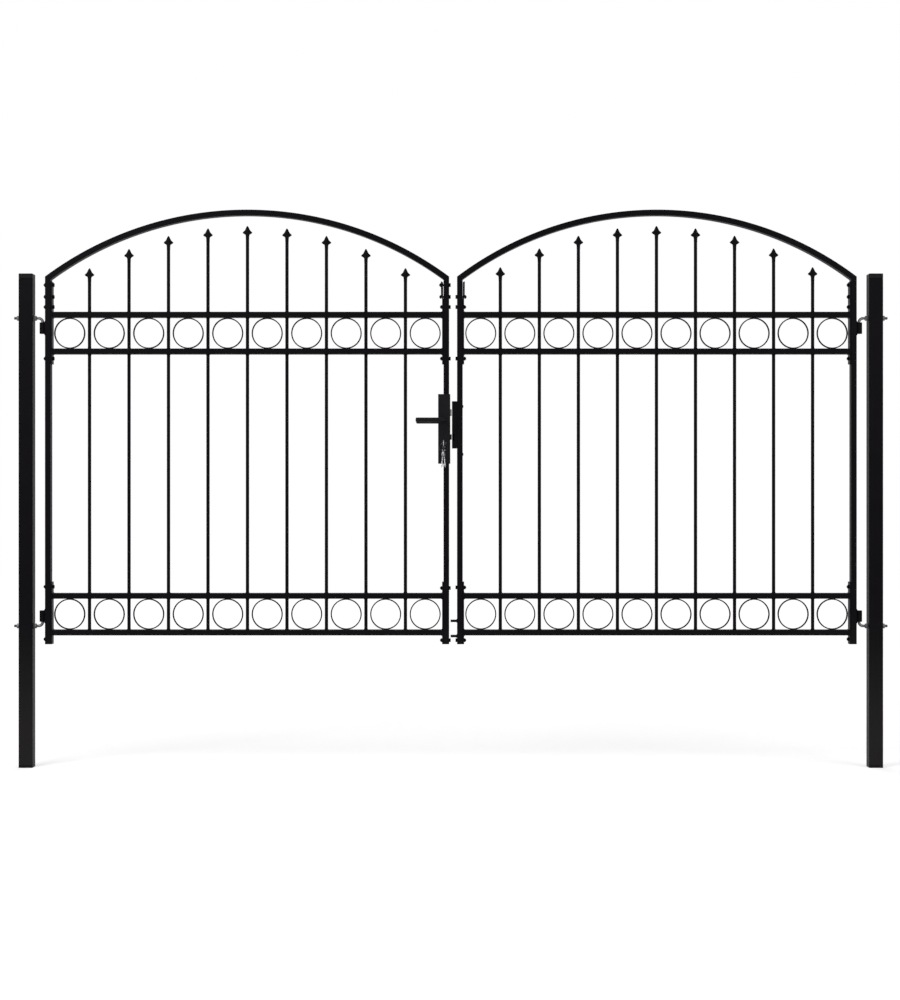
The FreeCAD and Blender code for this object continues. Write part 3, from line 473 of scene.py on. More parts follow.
def material(finish):
    """The material of a finish, made once: two noises in object coordinates over one shader.

    The noise of patch size moves the colour and the roughness between their limits, and the noise
    of grain size gives the bump.
    """
    if finish in MATERIALS:
        return MATERIALS[finish]
    name, spread, patch_mm, grain_mm, lift, rough, values = FINISHES[finish]
    tint = np.array(getattr(bpy.context.scene.gate_colours, name))
    made = MATERIALS[finish] = bpy.data.materials.new(finish)
    tree = emptied(made)
    place = add(tree, "ShaderNodeTexCoord").outputs["Object"]
    noise = {"kind": "ShaderNodeTexNoise", "links": [("Vector", place)]}
    patch = add(tree, **noise, Scale=1000 / patch_mm, Detail=4.0, Roughness=0.55).outputs["Fac"]
    grain = add(tree, **noise, Scale=1000 / grain_mm, Detail=2.0, Roughness=0.50).outputs["Fac"]
    tones = add(tree, "ShaderNodeValToRGB", [("Fac", patch)])
    for element, position, factor in zip(tones.color_ramp.elements, (0.3, 0.7), (1 - spread, 1 + spread)):
        element.position, element.color = position, (*np.minimum(1, tint * factor), 1)
    tone = tones.outputs["Color"]
    # Only the coat gets painted bounce light: its colour is lightened towards the ground.
    if finish == COAT:
        tone = with_painted_bounce_light(tree, place, tone)
    gloss = add(tree, "ShaderNodeMapRange", [("Value", patch)], To_Min=rough[0], To_Max=rough[1])
    bump = add(tree, "ShaderNodeBump", [("Height", grain)], Strength=lift, Distance=grain_mm / 5000)
    links = [("Base Color", tone), ("Roughness", gloss.outputs[0]), ("Normal", bump.outputs[0])]
    shader = add(tree, "ShaderNodeBsdfPrincipled", links, **values)
    add(tree, "ShaderNodeOutputMaterial", [("Surface", shader.outputs[0])])
    return made


def with_painted_bounce_light(tree, place, tone):
    """A colour lightened by painted bounce light from the floor, which starts 600 mm up and grows towards the
    ground.
    """
    height = add(tree, "ShaderNodeSeparateXYZ", [("Vector", place)]).outputs["Z"]
    # Share of painted bounce light: none from 600 mm up, the most at the ground.
    bounce_share = add(
        tree, "ShaderNodeMapRange", [("Value", height)],
        interpolation_type="SMOOTHSTEP", From_Min=0.0, From_Max=0.6, To_Min=0.038, To_Max=0.0,
    )
    # The pale tint that paints the floor's bounce light.
    painted_bounce_light = (*bpy.context.scene.gate_colours.painted_bounce_light, 1)
    return add(tree, "ShaderNodeMixRGB", [("Fac", bounce_share.outputs[0]), ("Color1", tone)], Color2=painted_bounce_light).outputs[0]


def finish_frame():
    """Give every CAD node, shown or not, the finish that its own material is named for."""
    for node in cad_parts.values():
        for index, own in enumerate(list(node.data.materials)):
            node.data.materials[index] = material(own.name.split(".")[0])


# --- posts


class BuildPosts(bpy.types.Operator):
    """Square post tubes between their plastic foot and top caps"""

    bl_idname = "gate.posts"
    bl_label = "Posts and caps"

    def execute(self, context):
        sizes = context.scene.gate_sizes
        top, cap_ease, foot_rim = box("post_caps")[1][2], 0.0025, 0.010
        tubes, caps, feet = [], [], []
        for side in SIDES:
            low, high = box(f"{side}_post")
            wide, at = high[0] - low[0], ((low[0] + high[0]) / 2, 0, 0)
            outline = rectangle(wide, wide, sizes.post_corner, 6)
            tubes.append(stood(bar(outline, low[2], high[2], SAWN), at=at))
            caps.append(stood(bar(outline, top - sizes.cap_rim, top, cap_ease, 6), at=at))
            feet.append(stood(bar(outline, 0, foot_rim, MOULDED), at=at))
        make_piece("post_tubes", joined(tubes), COAT, "posts", ("left_post", "right_post"))
        make_piece("post_top_caps", joined(caps), PLASTIC, "posts", ("post_caps",))
        make_piece("post_feet", joined(feet), PLASTIC, "posts", ("post_foot_caps",))
        return {"FINISHED"}


# --- hook bolts


def hook_bolt(start, pin, rod_height, pin_end, sizes):
    """A threaded rod that bends into the hinge pin, by a straight run and a quarter circle.

    On the straight run the radius is the rod's less the thread's depth times a triangle wave of
    (distance / pitch + angle / full turn).  It starts a fifth smaller, over a short lead-in.
    """
    way, fall = np.sign(pin - start), np.sign(pin_end - rod_height)
    bend_start = pin - way * sizes.bend
    plain, pitch, depth, lead_in = 0.003, 0.0015, 0.0008, 0.0012
    thread_end = bend_start - way * plain
    steps = int(abs(thread_end - start) / pitch * 6)
    turn, sides = quarter(14), 24
    arc_x = bend_start + way * sizes.bend * np.sin(turn)
    arc_z = rod_height + fall * sizes.bend * (1 - np.cos(turn))
    x = np.r_[np.linspace(start, thread_end, steps), arc_x, pin, pin]
    z = np.r_[np.full(steps, rod_height), arc_z, pin_end - fall * 0.001, pin_end]
    far = np.abs(x - start)[:, None]
    wave = 1 - np.abs(2 * ((far / pitch + np.arange(sides) / sides) % 1) - 1)
    threaded = (np.arange(len(x)) < steps)[:, None]
    radii = (sizes.rod_radius - depth * wave * threaded) * np.minimum(1, 0.8 + 0.2 * far / lead_in)
    radii[-1] *= 0.85
    return tube(np.c_[x, np.zeros_like(x), z], BACK, radii, sides)


class BuildHookBolts(bpy.types.Operator):
    """Threaded hook bolts through the posts, with their nuts and washers"""

    bl_idname = "gate.hook_bolts"
    bl_label = "Hook bolts"

    def execute(self, context):
        sizes = context.scene.gate_sizes
        nuts_low, nuts_high = box("hook_bolt_nuts")
        point = sizes.nut_flats / np.sqrt(3)  # from a nut's middle to its corners
        inside = sizes.bush_tall - 0.002  # how far a pin goes into its bush
        thin, thick = 0.002, 0.008
        washer = bar(circle(sizes.washer_wide / 2, 36), 0, thin, 0.0003, 2)
        fixing = joined([washer, stood(hexagon(sizes.nut_flats, thick), at=(0, 0, thin))])
        rods, nuts = [], []
        for side, start in zip(SIDES, box("hook_bolts")[:, 0]):
            bush_low, bush_high = box(f"{side}_hinge_bushes")
            pin = (bush_low[0] + bush_high[0]) / 2
            upper = (nuts_high[2] - point, bush_high[2] - inside)
            lower = (nuts_low[2] + point, bush_low[2] + inside)
            for height, pin_end in (upper, lower):
                rods.append(hook_bolt(start, pin, height, pin_end, sizes))
                for face, toward in zip(box(f"{side}_post")[:, 0], (LEFT, RIGHT)):
                    nuts.append(stood(fixing, UP, np.cross(toward, UP), toward, (face, 0, height)))
        make_piece("hook_bolt_rods", joined(rods), ZINC, "posts", ("hook_bolts",), 60)
        make_piece("hook_bolt_hexagon_nuts", joined(nuts), ZINC, "posts", ("hook_bolt_nuts",))
        return {"FINISHED"}


# --- leaf frames


def mitre(side, sizes):
    """Outer radius of the arch, and how far its inner corner lies above the shoulder.

    The radius comes from chord and rise; the corner's height is
    crown - radius + sqrt((radius - tube width)^2 - (half the leaf - tube width)^2).
    """
    wide, half = sizes.tube_wide, leaf_width(side) / 2
    rise = box(f"{side}_arch")[1][2] - sizes.shoulder
    radius = (half**2 + rise**2) / (2 * rise)
    return radius, rise - radius + np.sqrt((radius - wide) ** 2 - (half - wide) ** 2)


def stile(side, foot, head, sizes, mitred=True):
    """A hinge stile's tube, its head cut from the shoulder to the arch's inner corner."""
    points, faces = bar(leaf_outline(sizes), foot, head)
    if mitred:
        inward = points[:, 0] / sizes.tube_wide + 0.5
        cut = sizes.shoulder + mitre(side, sizes)[1] * inward
        points[:, 2] = np.where(points[:, 2] == head, cut, points[:, 2])
    return stood((points, faces), at=(sizes.tube_wide / 2, 0, 0))


def arch(side, sizes):
    """The bowed tube: each point of its outline runs round a circle from mitre to mitre."""
    wide, (radius, lift) = sizes.tube_wide, mitre(side, sizes)
    centre = np.array([leaf_width(side) / 2, box(f"{side}_arch")[1][2] - radius])
    line = leaf_outline(sizes)[0]
    share = 0.5 - line[:, 0] / wide
    ends = np.c_[share * wide, sizes.shoulder + lift * share] - centre
    left = np.arctan2(ends[:, 1], ends[:, 0])
    angles = left + (np.pi - 2 * left) * np.linspace(0, 1, 72)[:, None]
    flat = centre + np.linalg.norm(ends, axis=1)[:, None] * unit(angles)
    return form_of(np.stack(np.broadcast_arrays(flat[..., 0], line[:, 1], flat[..., 1]), axis=-1))


def mitre_seam(side, sizes):
    """A flat weld bead round the mitre of hinge stile and arch."""
    wide, lift = sizes.tube_wide, mitre(side, sizes)[1]
    long = np.hypot(wide, lift)
    outward = np.array([-wide, 0, -lift]) / long
    line, normals = leaf_outline(sizes)
    seam = bead(((line - 0.0006 * normals) * [long / wide, 1], normals), 0.0010)
    return stood(seam, outward, BACK, np.cross(outward, BACK), (wide / 2, 0, sizes.shoulder + lift / 2))


class BuildLeafFrames(bpy.types.Operator):
    """Stiles and bowed top tubes of both leaves"""

    bl_idname = "gate.leaf_frames"
    bl_label = "Stiles and arches"

    def execute(self, context):
        sizes = context.scene.gate_sizes
        case_low, case_high = box("lock_case")
        for side in SIDES:
            low, high = box(f"{side}_hinge_stile")
            foot, head = low[2], high[2]
            hinge, seam = stile(side, foot, head, sizes), mitre_seam(side, sizes)
            lock = [hinge]
            if side == "left":
                below = stile(side, foot, case_low[2], sizes, mitred=False)
                lock = [below, stile(side, case_high[2], head, sizes)]
            tubes = [hinge, seam, mirrored(joined([*lock, seam]), leaf_width(side))]
            leaf_piece(side, "stile_tubes", joined(tubes), ("hinge_stile", "lock_stile"))
            leaf_piece(side, "arch_tube", arch(side, sizes), ("arch",))
        return {"FINISHED"}


class BuildRails(bpy.types.Operator):
    """Four rails to a leaf, and the weld beads round their ends"""

    bl_idname = "gate.rails"
    bl_label = "Rails"

    def execute(self, context):
        sizes = context.scene.gate_sizes
        outline = leaf_outline(sizes)
        seam, sunk, half = bead(outline, sizes.weld), 0.0008, sizes.tube_wide / 2
        for side in SIDES:
            tubes, beads = [], []
            for level in LEVELS:
                low, high = box(f"{side}_{level}_rails")
                for middle in (high[2] - half, low[2] + half):
                    tubes.append(stood(bar(outline, low[0], high[0]), DOWN, BACK, RIGHT, (0, 0, middle)))
                    for end in (low[0] + sunk, high[0] - sunk):
                        beads.append(stood(seam, DOWN, BACK, RIGHT, (end, 0, middle)))
            nodes = [f"{level}_rails" for level in LEVELS]
            leaf_piece(side, "rail_tubes", joined(tubes), nodes, own_axes=False)
            leaf_piece(side, "rail_welds", joined(beads), own_axes=False)
        return {"FINISHED"}


class BuildBalusters(bpy.types.Operator):
    """Round bars through the rails, with a fillet weld where each enters a rail"""

    bl_idname = "gate.balusters"
    bl_label = "Balusters"

    def execute(self, context):
        sizes = context.scene.gate_sizes
        wide, leg = sizes.tube_wide, sizes.weld
        for side in SIDES:
            low, high = box(f"{side}_balusters")
            radius = (high[1] - low[1]) / 2
            tops = baluster_tops(side, sizes)
            bars = [stood(bar(circle(radius, 28), low[2], top), at=(x, 0, 0)) for x, _, top in tops]
            radii = radius + leg * np.array([-0.3, 1, 1, 0.45, 0.12, -0.3])
            rises = leg * np.array([-0.3, -0.3, 0.08, 0.3, 1, 1])
            collar = turned(radii, rises, 14, wrap=True)
            under = stood(collar, RIGHT, FRONT, DOWN)
            collars = []
            for level in LEVELS:
                foot, top = box(f"{side}_{level}_rails")[:, 2]
                seams = [(collar, top), (collar, foot + wide), (under, top - wide), (under, foot)]
                for form, z in seams if level == "upper" else seams[:3]:
                    collars.append(repeated(form, tops * [1, 0, 0] + [0, 0, z]))
            leaf_piece(side, "round_bars", joined(bars), ("balusters",))
            leaf_piece(side, "bar_welds", joined(collars))
        return {"FINISHED"}


def spear_head(sizes):
    """A cast spear head: at each height an ellipse whose half width and half depth follow two curves.

    The half width swells a little over the socket and fast to the barbs, then sweeps in to the
    blade and a blunt tip.  The half depth goes from the socket to a flat blade.  Both are in mm, at
    places in percent of the height.
    """
    width_at = [0, 10, 20, 28, 33, 36, 40, 43.5, 46, 50, 53, 58, 62, 66, 70, 76, 83, 90, 95, 98, 100]
    half_width = [
        6.3, 6.3, 6.4, 6.7, 7.3, 8.6, 11.8, 14.7, 16.0, 17.5, 16.4,
        14.4, 12.0, 10.2, 8.7, 7.3, 5.9, 4.3, 2.9, 1.8, 0.7,
    ]
    depth_at = [0, 20, 30, 37, 45, 55, 70, 85, 95, 100]
    half_depth = [6.5, 6.5, 6.2, 5.2, 4.4, 4.4, 4.6, 3.6, 2.4, 0.7]
    height = np.r_[np.linspace(0, 0.30, 5), np.linspace(0.315, 0.62, 26), np.linspace(0.64, 1, 16)]
    wide = np.interp(100 * height, width_at, half_width) * sizes.head_wide / (2 * max(half_width))
    deep = np.interp(100 * height, depth_at, half_depth) / 1000
    radii = np.c_[wide, deep][:, None]
    return lofted(radii * unit(around(36)), height * sizes.head_tall)


class BuildSpearHeads(bpy.types.Operator):
    """A cast spear head on each baluster"""

    bl_idname = "gate.spear_heads"
    bl_label = "Spear heads"

    def execute(self, context):
        sizes = context.scene.gate_sizes
        for side in SIDES:
            heads = repeated(spear_head(sizes), baluster_tops(side, sizes))
            leaf_piece(side, "cast_heads", heads, ("spear_heads",), crease=50)
        return {"FINISHED"}


class BuildRings(bpy.types.Operator):
    """Hoops of flat strip between the rails, tacked at top and bottom"""

    bl_idname = "gate.rings"
    bl_label = "Rings"

    def execute(self, context):
        strip_thick = context.scene.gate_sizes.ring_strip
        tack = blob(0.009, 0.005, 0.0016)
        hanging = stood(tack, RIGHT, FRONT, DOWN)
        for side in SIDES:
            for level in LEVELS:
                low, high = box(f"{side}_{level}_rings")
                radius, deep = (high[2] - low[2]) / 2, high[1] - low[1]
                strip = rectangle(strip_thick, deep, FILED, 2)[0]
                hoop = turned(radius - strip_thick / 2 + strip[:, 0], strip[:, 1], 72, wrap=True)
                middles = np.linspace(low[0] + radius, high[0] - radius, 10)
                height = (low[2] + high[2]) / 2
                parts = [repeated(stood(hoop, RIGHT, UP, FRONT), [(x, 0, height) for x in middles])]
                for form, z in ((tack, low[2]), (hanging, high[2])):
                    edges = [(x, y, z) for x in middles for y in (-deep / 2, deep / 2)]
                    parts.append(repeated(form, edges))
                leaf_piece(side, f"{level}_hoops", joined(parts), (f"{level}_rings",), own_axes=False)
        return {"FINISHED"}


# --- plates and hinges


def plate_bolt(sizes, head_x, nut_x, height, shown_head=True):
    """A bolt through stile and plate: a head on one face, a nut and the bolt's end on the other."""
    ahead = RIGHT if nut_x > head_x else LEFT
    nut_thick, head_thick, radius = 0.0050, 0.0055, 0.0038
    nut, end = hexagon(sizes.bolt_flats, nut_thick), bar(circle(radius, 20), -0.011, 0.0075, 0.0008, 2)
    pieces = [stood(joined([nut, end]), UP, np.cross(ahead, UP), ahead, (nut_x, 0, height))]
    if shown_head:
        head = hexagon(sizes.bolt_flats, head_thick)
        pieces.append(stood(head, UP, np.cross(UP, ahead), -ahead, (head_x, 0, height)))
    return joined(pieces)


def pan_head(radius, tall):
    """A screw's low domed head on z = 0: a short rim, then a quarter ellipse of radius and height."""
    turn = np.linspace(0, np.radians(84), 7)
    radii = np.r_[radius, radius * np.cos(turn)]
    return turned(radii, np.r_[-0.0005, tall * (0.35 + 0.65 * np.sin(turn))], 24)


class BuildSidePlates(bpy.types.Operator):
    """Flat bars inside the stiles, and the bolts through them"""

    bl_idname = "gate.side_plates"
    bl_label = "Side plates and bolts"

    # Heights: bolts in the hinge and the lock stiles, the hinge stiles' bolts without a head to be
    # seen, the strike's screws, and the ends of the upper and the lower plates.
    hinge_bolts = (1.711, 1.669, 1.633, 1.450, 0.640, 0.454)
    lock_bolts = {
        "left": (1.711, 1.669, 1.633, 1.450, 0.6355, 0.4503),
        "right": (1.669, 1.633, 1.450, 0.6376, 0.4503),
    }
    headless = {"left": (0.454,), "right": hinge_bolts}
    strike_screws = (1.280, 1.110)
    upper_foot, lower_top = 1.430, 0.658
    share, twist = 0.65, 0.35  # of the lean: over the plate's whole depth, and more or less at its edges

    @staticmethod
    def stand_off(sizes, side, height):
        """How far the plate stands off: 85% of its lean over an 8 mm bend, the rest evenly above."""
        above, rest = height - sizes.plate_bend, box(f"{side}_side_plates")[1][2] - sizes.plate_bend
        rise = 0.85 * np.clip(above / 0.008, 0, 1) + 0.15 * np.clip(above / rest, 0, 1)
        return getattr(sizes, f"{side}_lean") * rise

    def leaning_plate(self, sizes, side, face, deep, top):
        """A flat bar whose cross-section moves off the stile with height, and more so at one edge."""
        foot, bend = self.upper_foot, sizes.plate_bend
        fold = bend + np.linspace(-0.001, 0.009, 7)
        heights = np.r_[foot, foot + FILED, fold, np.linspace(bend + 0.02, top - FILED, 4), top]
        line, normals = rectangle(sizes.plate_thick, 2 * deep, FILED, 3)
        inset = np.where((heights == foot) | (heights == top), FILED, 0)[:, None, None]
        flat = line - inset * normals + [face + sizes.plate_thick / 2, 0]
        front = flat[..., 1] / deep * (-1 if side == "left" else 1)
        flat[..., 0] -= self.stand_off(sizes, side, heights)[:, None] * (self.share + self.twist * front)
        return lofted(flat, heights)

    def execute(self, context):
        sizes = context.scene.gate_sizes
        inner, outer = sizes.tube_wide, sizes.tube_wide + sizes.plate_thick
        for side in SIDES:
            width = leaf_width(side)
            low, high = box(f"{side}_side_plates")
            deep, foot, top = (high[1] - low[1]) / 2, low[2], high[2]
            lower = slab((inner, -deep, foot), (outer, deep, self.lower_top), FILED)
            upper = slab((inner, -deep, self.upper_foot), (outer, deep, top), FILED)
            leaning = self.leaning_plate(sizes, side, width - outer, deep, top)
            plates = [lower, upper, mirrored(lower, width), leaning]
            bolts = []
            head_x, nut_x = (outer, 0) if side == "left" else (0, outer)
            for height in self.hinge_bolts:
                bolts.append(plate_bolt(sizes, head_x, nut_x, height, height not in self.headless[side]))
            for height in self.lock_bolts[side]:
                nut = outer + self.share * self.stand_off(sizes, side, height)
                bolts.append(mirrored(plate_bolt(sizes, 0, nut, height), width))
            if side == "right":
                head = stood(pan_head(0.0055, 0.0026), UP, FRONT, RIGHT)
                screws = repeated(head, [(inner, 0, height) for height in self.strike_screws])
                bolts.append(mirrored(screws, width))
            leaf_piece(side, "flat_bars", joined(plates), ("side_plates",))
            leaf_piece(side, "plate_bolts", joined(bolts))
        return {"FINISHED"}


class BuildBushes(bpy.types.Operator):
    """Hinge bushes with their webs and welds, and the plugs in the stiles' feet"""

    bl_idname = "gate.bushes"
    bl_label = "Hinge bushes and plugs"

    def execute(self, context):
        sizes = context.scene.gate_sizes
        tall, radius, bore, rim = sizes.bush_tall, sizes.bush_radius, 0.0051, 0.0008
        radii = [radius - rim, radius, radius, radius - rim, bore + rim, bore, bore, bore + rim]
        rises = [0, rim, tall - rim, tall, tall, tall - rim, rim, 0]
        barrel = stood(turned(radii, rises, 40, wrap=True), at=(-radius, 0, 0))
        inset = 0.0004
        web = slab((-0.0035, -0.008, inset), (inset, 0.008, tall - inset), 0.0003)
        seam_x, seam_y, count = -0.0006, 0.0086, 24
        path = np.linspace((seam_x, seam_y, 0.001), (seam_x, seam_y, tall - 0.001), count)
        seam = tube(path, RIGHT, 0.0018 * (1 + 0.14 * np.sin(np.arange(count) * 1.7)), 10)
        back_seam = stood(seam, at=(0, -2 * seam_y, 0))
        lump = stood(blob(0.016, 0.014, 0.0060, 16), UP, FRONT, LEFT)
        lumps = repeated(lump, [(0, 0, 0.0005), (0, 0, tall - 0.0005)])
        bush = joined([barrel, web, seam, back_seam, lumps])
        for side in SIDES:
            low, high = box(f"{side}_hinge_bushes")
            bushes = repeated(bush, [(0, 0, low[2]), (0, 0, high[2] - tall)])
            leaf_piece(side, "bush_barrels", bushes, ("hinge_bushes",))
            foot, half, plug_rim = box(f"{side}_stile_plugs")[0][2], sizes.tube_wide / 2, 0.003
            plug = bar(leaf_outline(sizes), foot, foot + plug_rim, MOULDED)
            plugs = repeated(plug, [(half, 0, 0), (leaf_width(side) - half, 0, 0)])
            leaf_piece(side, "foot_plugs", plugs, ("stile_plugs",), PLASTIC)
        return {"FINISHED"}


# --- lock


def keyhole_outline(radius, drop, neck):
    """Outline of a profile cylinder: a circle, and below it a slot that ends in a half circle."""
    spread = np.arcsin(neck / radius)
    top = radius * unit(np.linspace(-np.pi / 2 + spread, 1.5 * np.pi - spread, 40))
    foot = neck * unit(np.linspace(np.pi, 2 * np.pi, 14)) - [0, drop]
    line = np.vstack([top, foot])
    along = np.roll(line, -1, axis=0) - np.roll(line, 1, axis=0)
    normals = np.c_[along[:, 1], -along[:, 0]]
    return line, normals / np.linalg.norm(normals, axis=1, keepdims=True)


class BuildLock(bpy.types.Operator):
    """Lock case, faceplates, cylinder, latch and dead bolt"""

    bl_idname = "gate.lock"
    bl_label = "Lock"

    def execute(self, context):
        softened("lock_case_box", "lock_case", ENAMEL, "left_leaf", 0.0012)
        softened("lock_face_covers", "lock_faceplates", ENAMEL, "left_leaf", 0.0009)
        softened("latch_tongue", "latch_bolt", STEEL, "latch")
        softened("dead_bolt_bar", "dead_bolt", OXIDE, "lock_bolt")
        low, high = box("lock_cylinder")
        radius, neck = (high[0] - low[0]) / 2, 0.005  # half widths of the round part and the slot
        outline = keyhole_outline(radius, high[2] - radius - low[2] - neck, neck)
        at = ((low[0] + high[0]) / 2, 0, high[2] - radius)
        cylinder = stood(bar(outline, -high[1], -low[1], 0.0005), RIGHT, UP, FRONT, at)
        make_piece("profile_cylinder", cylinder, OXIDE, "left_leaf", ("lock_cylinder",))
        return {"FINISHED"}


class BuildLever(bpy.types.Operator):
    """The lever, front and back: a neck, a tight elbow and a straight bar with a domed end"""

    bl_idname = "gate.lever"
    bl_label = "Lever"

    def execute(self, context):
        sizes = context.scene.gate_sizes
        low, high = box("lever_handle")
        radius, neck, bend, tip = sizes.lever_thick / 2, sizes.lever_neck / 2, 0.012, 0.004
        spindle_x = box("lock_cylinder")[:, 0].mean()
        plate, reach = box("lock_faceplates")[0][1], low[1] + radius
        turn, dome, bend_x = quarter(12), quarter(7), spindle_x - bend
        bar_x = np.r_[bend_x - 0.004, low[0] + tip * (1 - np.sin(dome))]
        x = np.r_[spindle_x, spindle_x, bend_x + bend * np.cos(turn), bar_x]
        y = np.r_[plate + 0.002, plate - 0.024, reach + bend * (1 - np.sin(turn)), reach + 0 * bar_x]
        elbow = neck + (radius - neck) * np.sin(turn)
        radii = np.r_[neck, neck, elbow, radius, radius - tip * (1 - np.cos(dome))]
        collar = stood(bar(circle(0.0125, 40), 0, 0.003, 0.001), RIGHT, UP, FRONT, (spindle_x, plate, 0))
        front = joined([tube(np.c_[x, y, 0 * x], UP, radii, 36), collar])
        levers = joined([front, stood(front, RIGHT, FRONT, DOWN)])
        levers = stood(levers, at=(0, 0, (low[2] + high[2]) / 2))
        make_piece("lever_bars", levers, ENAMEL, "lever", ("lever_handle",))
        return {"FINISHED"}


# --- keys


def key(bow, long):
    """A flat key in the xy plane: a pierced bow round the origin, and a blade along -x.

    The bow's outline is its radius times (0.96 cos, sin).  The blade's lower edge has five cuts,
    then widens to a pointed tip; its edges are given in mm at each place along it.
    """
    half_thick, rim, eye_radius, eye_x = 0.0012, 0.0003, 0.0026, 0.0067
    ring = unit(around(40))
    heights = [-half_thick, rim - half_thick, half_thick - rim, half_thick]
    outer = [bow * ring * [0.96, 1] * (1 - inset / bow) for inset in (rim, 0, 0, rim)]
    inner = [eye_radius * ring + [eye_x, 0]] * 4
    eye = lofted(np.array(outer + inner), heights + heights[::-1], wrap=True)
    along = np.r_[0.8 * bow, bow + np.array([4, 7, 10, 13, 16]) / 1000, long - 0.012, long - 0.007, long]
    upper = [4.0, 4.0, 3.6, 3.8, 3.5, 3.8, 3.6, 4.4, 0.4]
    lower = [4.0, 4.0, 1.8, 3.0, 1.4, 2.8, 2.2, 4.4, 0.4]
    line = np.c_[-np.r_[along, along[::-1]], np.r_[upper, np.negative(lower)[::-1]] / 1000]
    return joined([eye, bar((line, 0 * line), -half_thick, half_thick)])


class BuildKeys(bpy.types.Operator):
    """The key in the cylinder, and two spare keys on a split ring"""

    bl_idname = "gate.keys"
    bl_label = "Keys"

    def execute(self, context):
        low, high = box("lock_key")
        bow = (high[2] - low[2]) / 2
        centre = ((low[0] + high[0]) / 2, low[1] + bow, (low[2] + high[2]) / 2)
        inserted = stood(key(bow, high[1] - low[1] - bow + 0.006), FRONT, UP, LEFT, centre)
        make_piece("key_in_cylinder", inserted, STEEL, "left_leaf", ("lock_key",))
        ring_low, ring_high = box("key_ring")
        ring_centre, wire_radius, count = (ring_low + ring_high) / 2, 0.0005, 130
        radius = (ring_high[0] - ring_low[0]) / 2 - 2 * wire_radius
        flat = radius * unit(np.linspace(0, 3.9 * np.pi, count) + 1)
        coil = np.c_[flat[:, 0], np.linspace(-0.00045, 0.00045, count), flat[:, 1]]
        wire = stood(tube(coil, BACK, np.full(count, wire_radius), 8), at=ring_centre)
        make_piece("split_ring", wire, OXIDE, "key_bunch", ("key_ring",), 60)
        spare, spares = key(bow, 0.0475), []
        for way in (-1, 1):
            lean, twist = np.radians(5) * way, np.radians(13)
            up = -np.array([np.sin(lean), 0, -np.cos(lean)])
            face = np.cos(twist) * np.cross(up, BACK) + np.sin(twist) * BACK
            hang = np.array([ring_centre[0] + way * 0.0015, ring_centre[1], ring_low[2] + 0.0013])
            spares.append(stood(spare, up, np.cross(face, up), face, hang - up * 0.0077))
        make_piece("hanging_spare_keys", joined(spares), STEEL, "key_bunch", ("spare_keys",))
        return {"FINISHED"}


class BuildStrike(bpy.types.Operator):
    """The strike and the two drilled guide lugs on the right lock stile"""

    bl_idname = "gate.strike"
    bl_label = "Strike and lugs"

    def execute(self, context):
        sizes = context.scene.gate_sizes
        softened("strike_housing", "strike_box", COAT, "right_leaf", 0.0012)
        low, high = box("guide_lugs")
        deep, tall = high[1] - low[1], 0.008
        centre = low[0] + deep / 2
        plate = drilled_plate(high[0] - centre, deep / 2, sizes.lug_hole / 2, tall)
        seam = bead(rectangle(tall, deep, FILED, 12), sizes.weld)
        seam = stood(seam, DOWN, BACK, RIGHT, (high[0] - centre - 0.0004, 0, tall / 2))
        lugs = repeated(joined([plate, seam]), [(centre, 0, low[2]), (centre, 0, high[2] - tall)])
        make_piece("drilled_lugs", lugs, COAT, "right_leaf", ("guide_lugs",))
        return {"FINISHED"}


# --- stage


def seen(tree):
    """1 for rays from the camera, off gloss and through glass, and 0 for the rest."""
    rays = add(tree, "ShaderNodeLightPath").outputs
    found = rays["Is Camera Ray"]
    for kind in ("Is Glossy Ray", "Is Transmission Ray"):
        found = add(tree, "ShaderNodeMath", [(0, found), (1, rays[kind])], operation="MAXIMUM").outputs[0]
    return found


def fill_world(tree, stage):
    """White where the camera, gloss or glass looks at it, and an even grey light otherwise."""
    light = add(tree, "ShaderNodeBackground", Color=(1, 1, 1, 1), Strength=stage.sky)
    white = add(tree, "ShaderNodeBackground", Color=(1, 1, 1, 1), Strength=1.0)
    links = [(0, seen(tree)), (1, light.outputs[0]), (2, white.outputs[0])]
    add(tree, "ShaderNodeOutputWorld", [("Surface", add(tree, "ShaderNodeMixShader", links).outputs[0])])


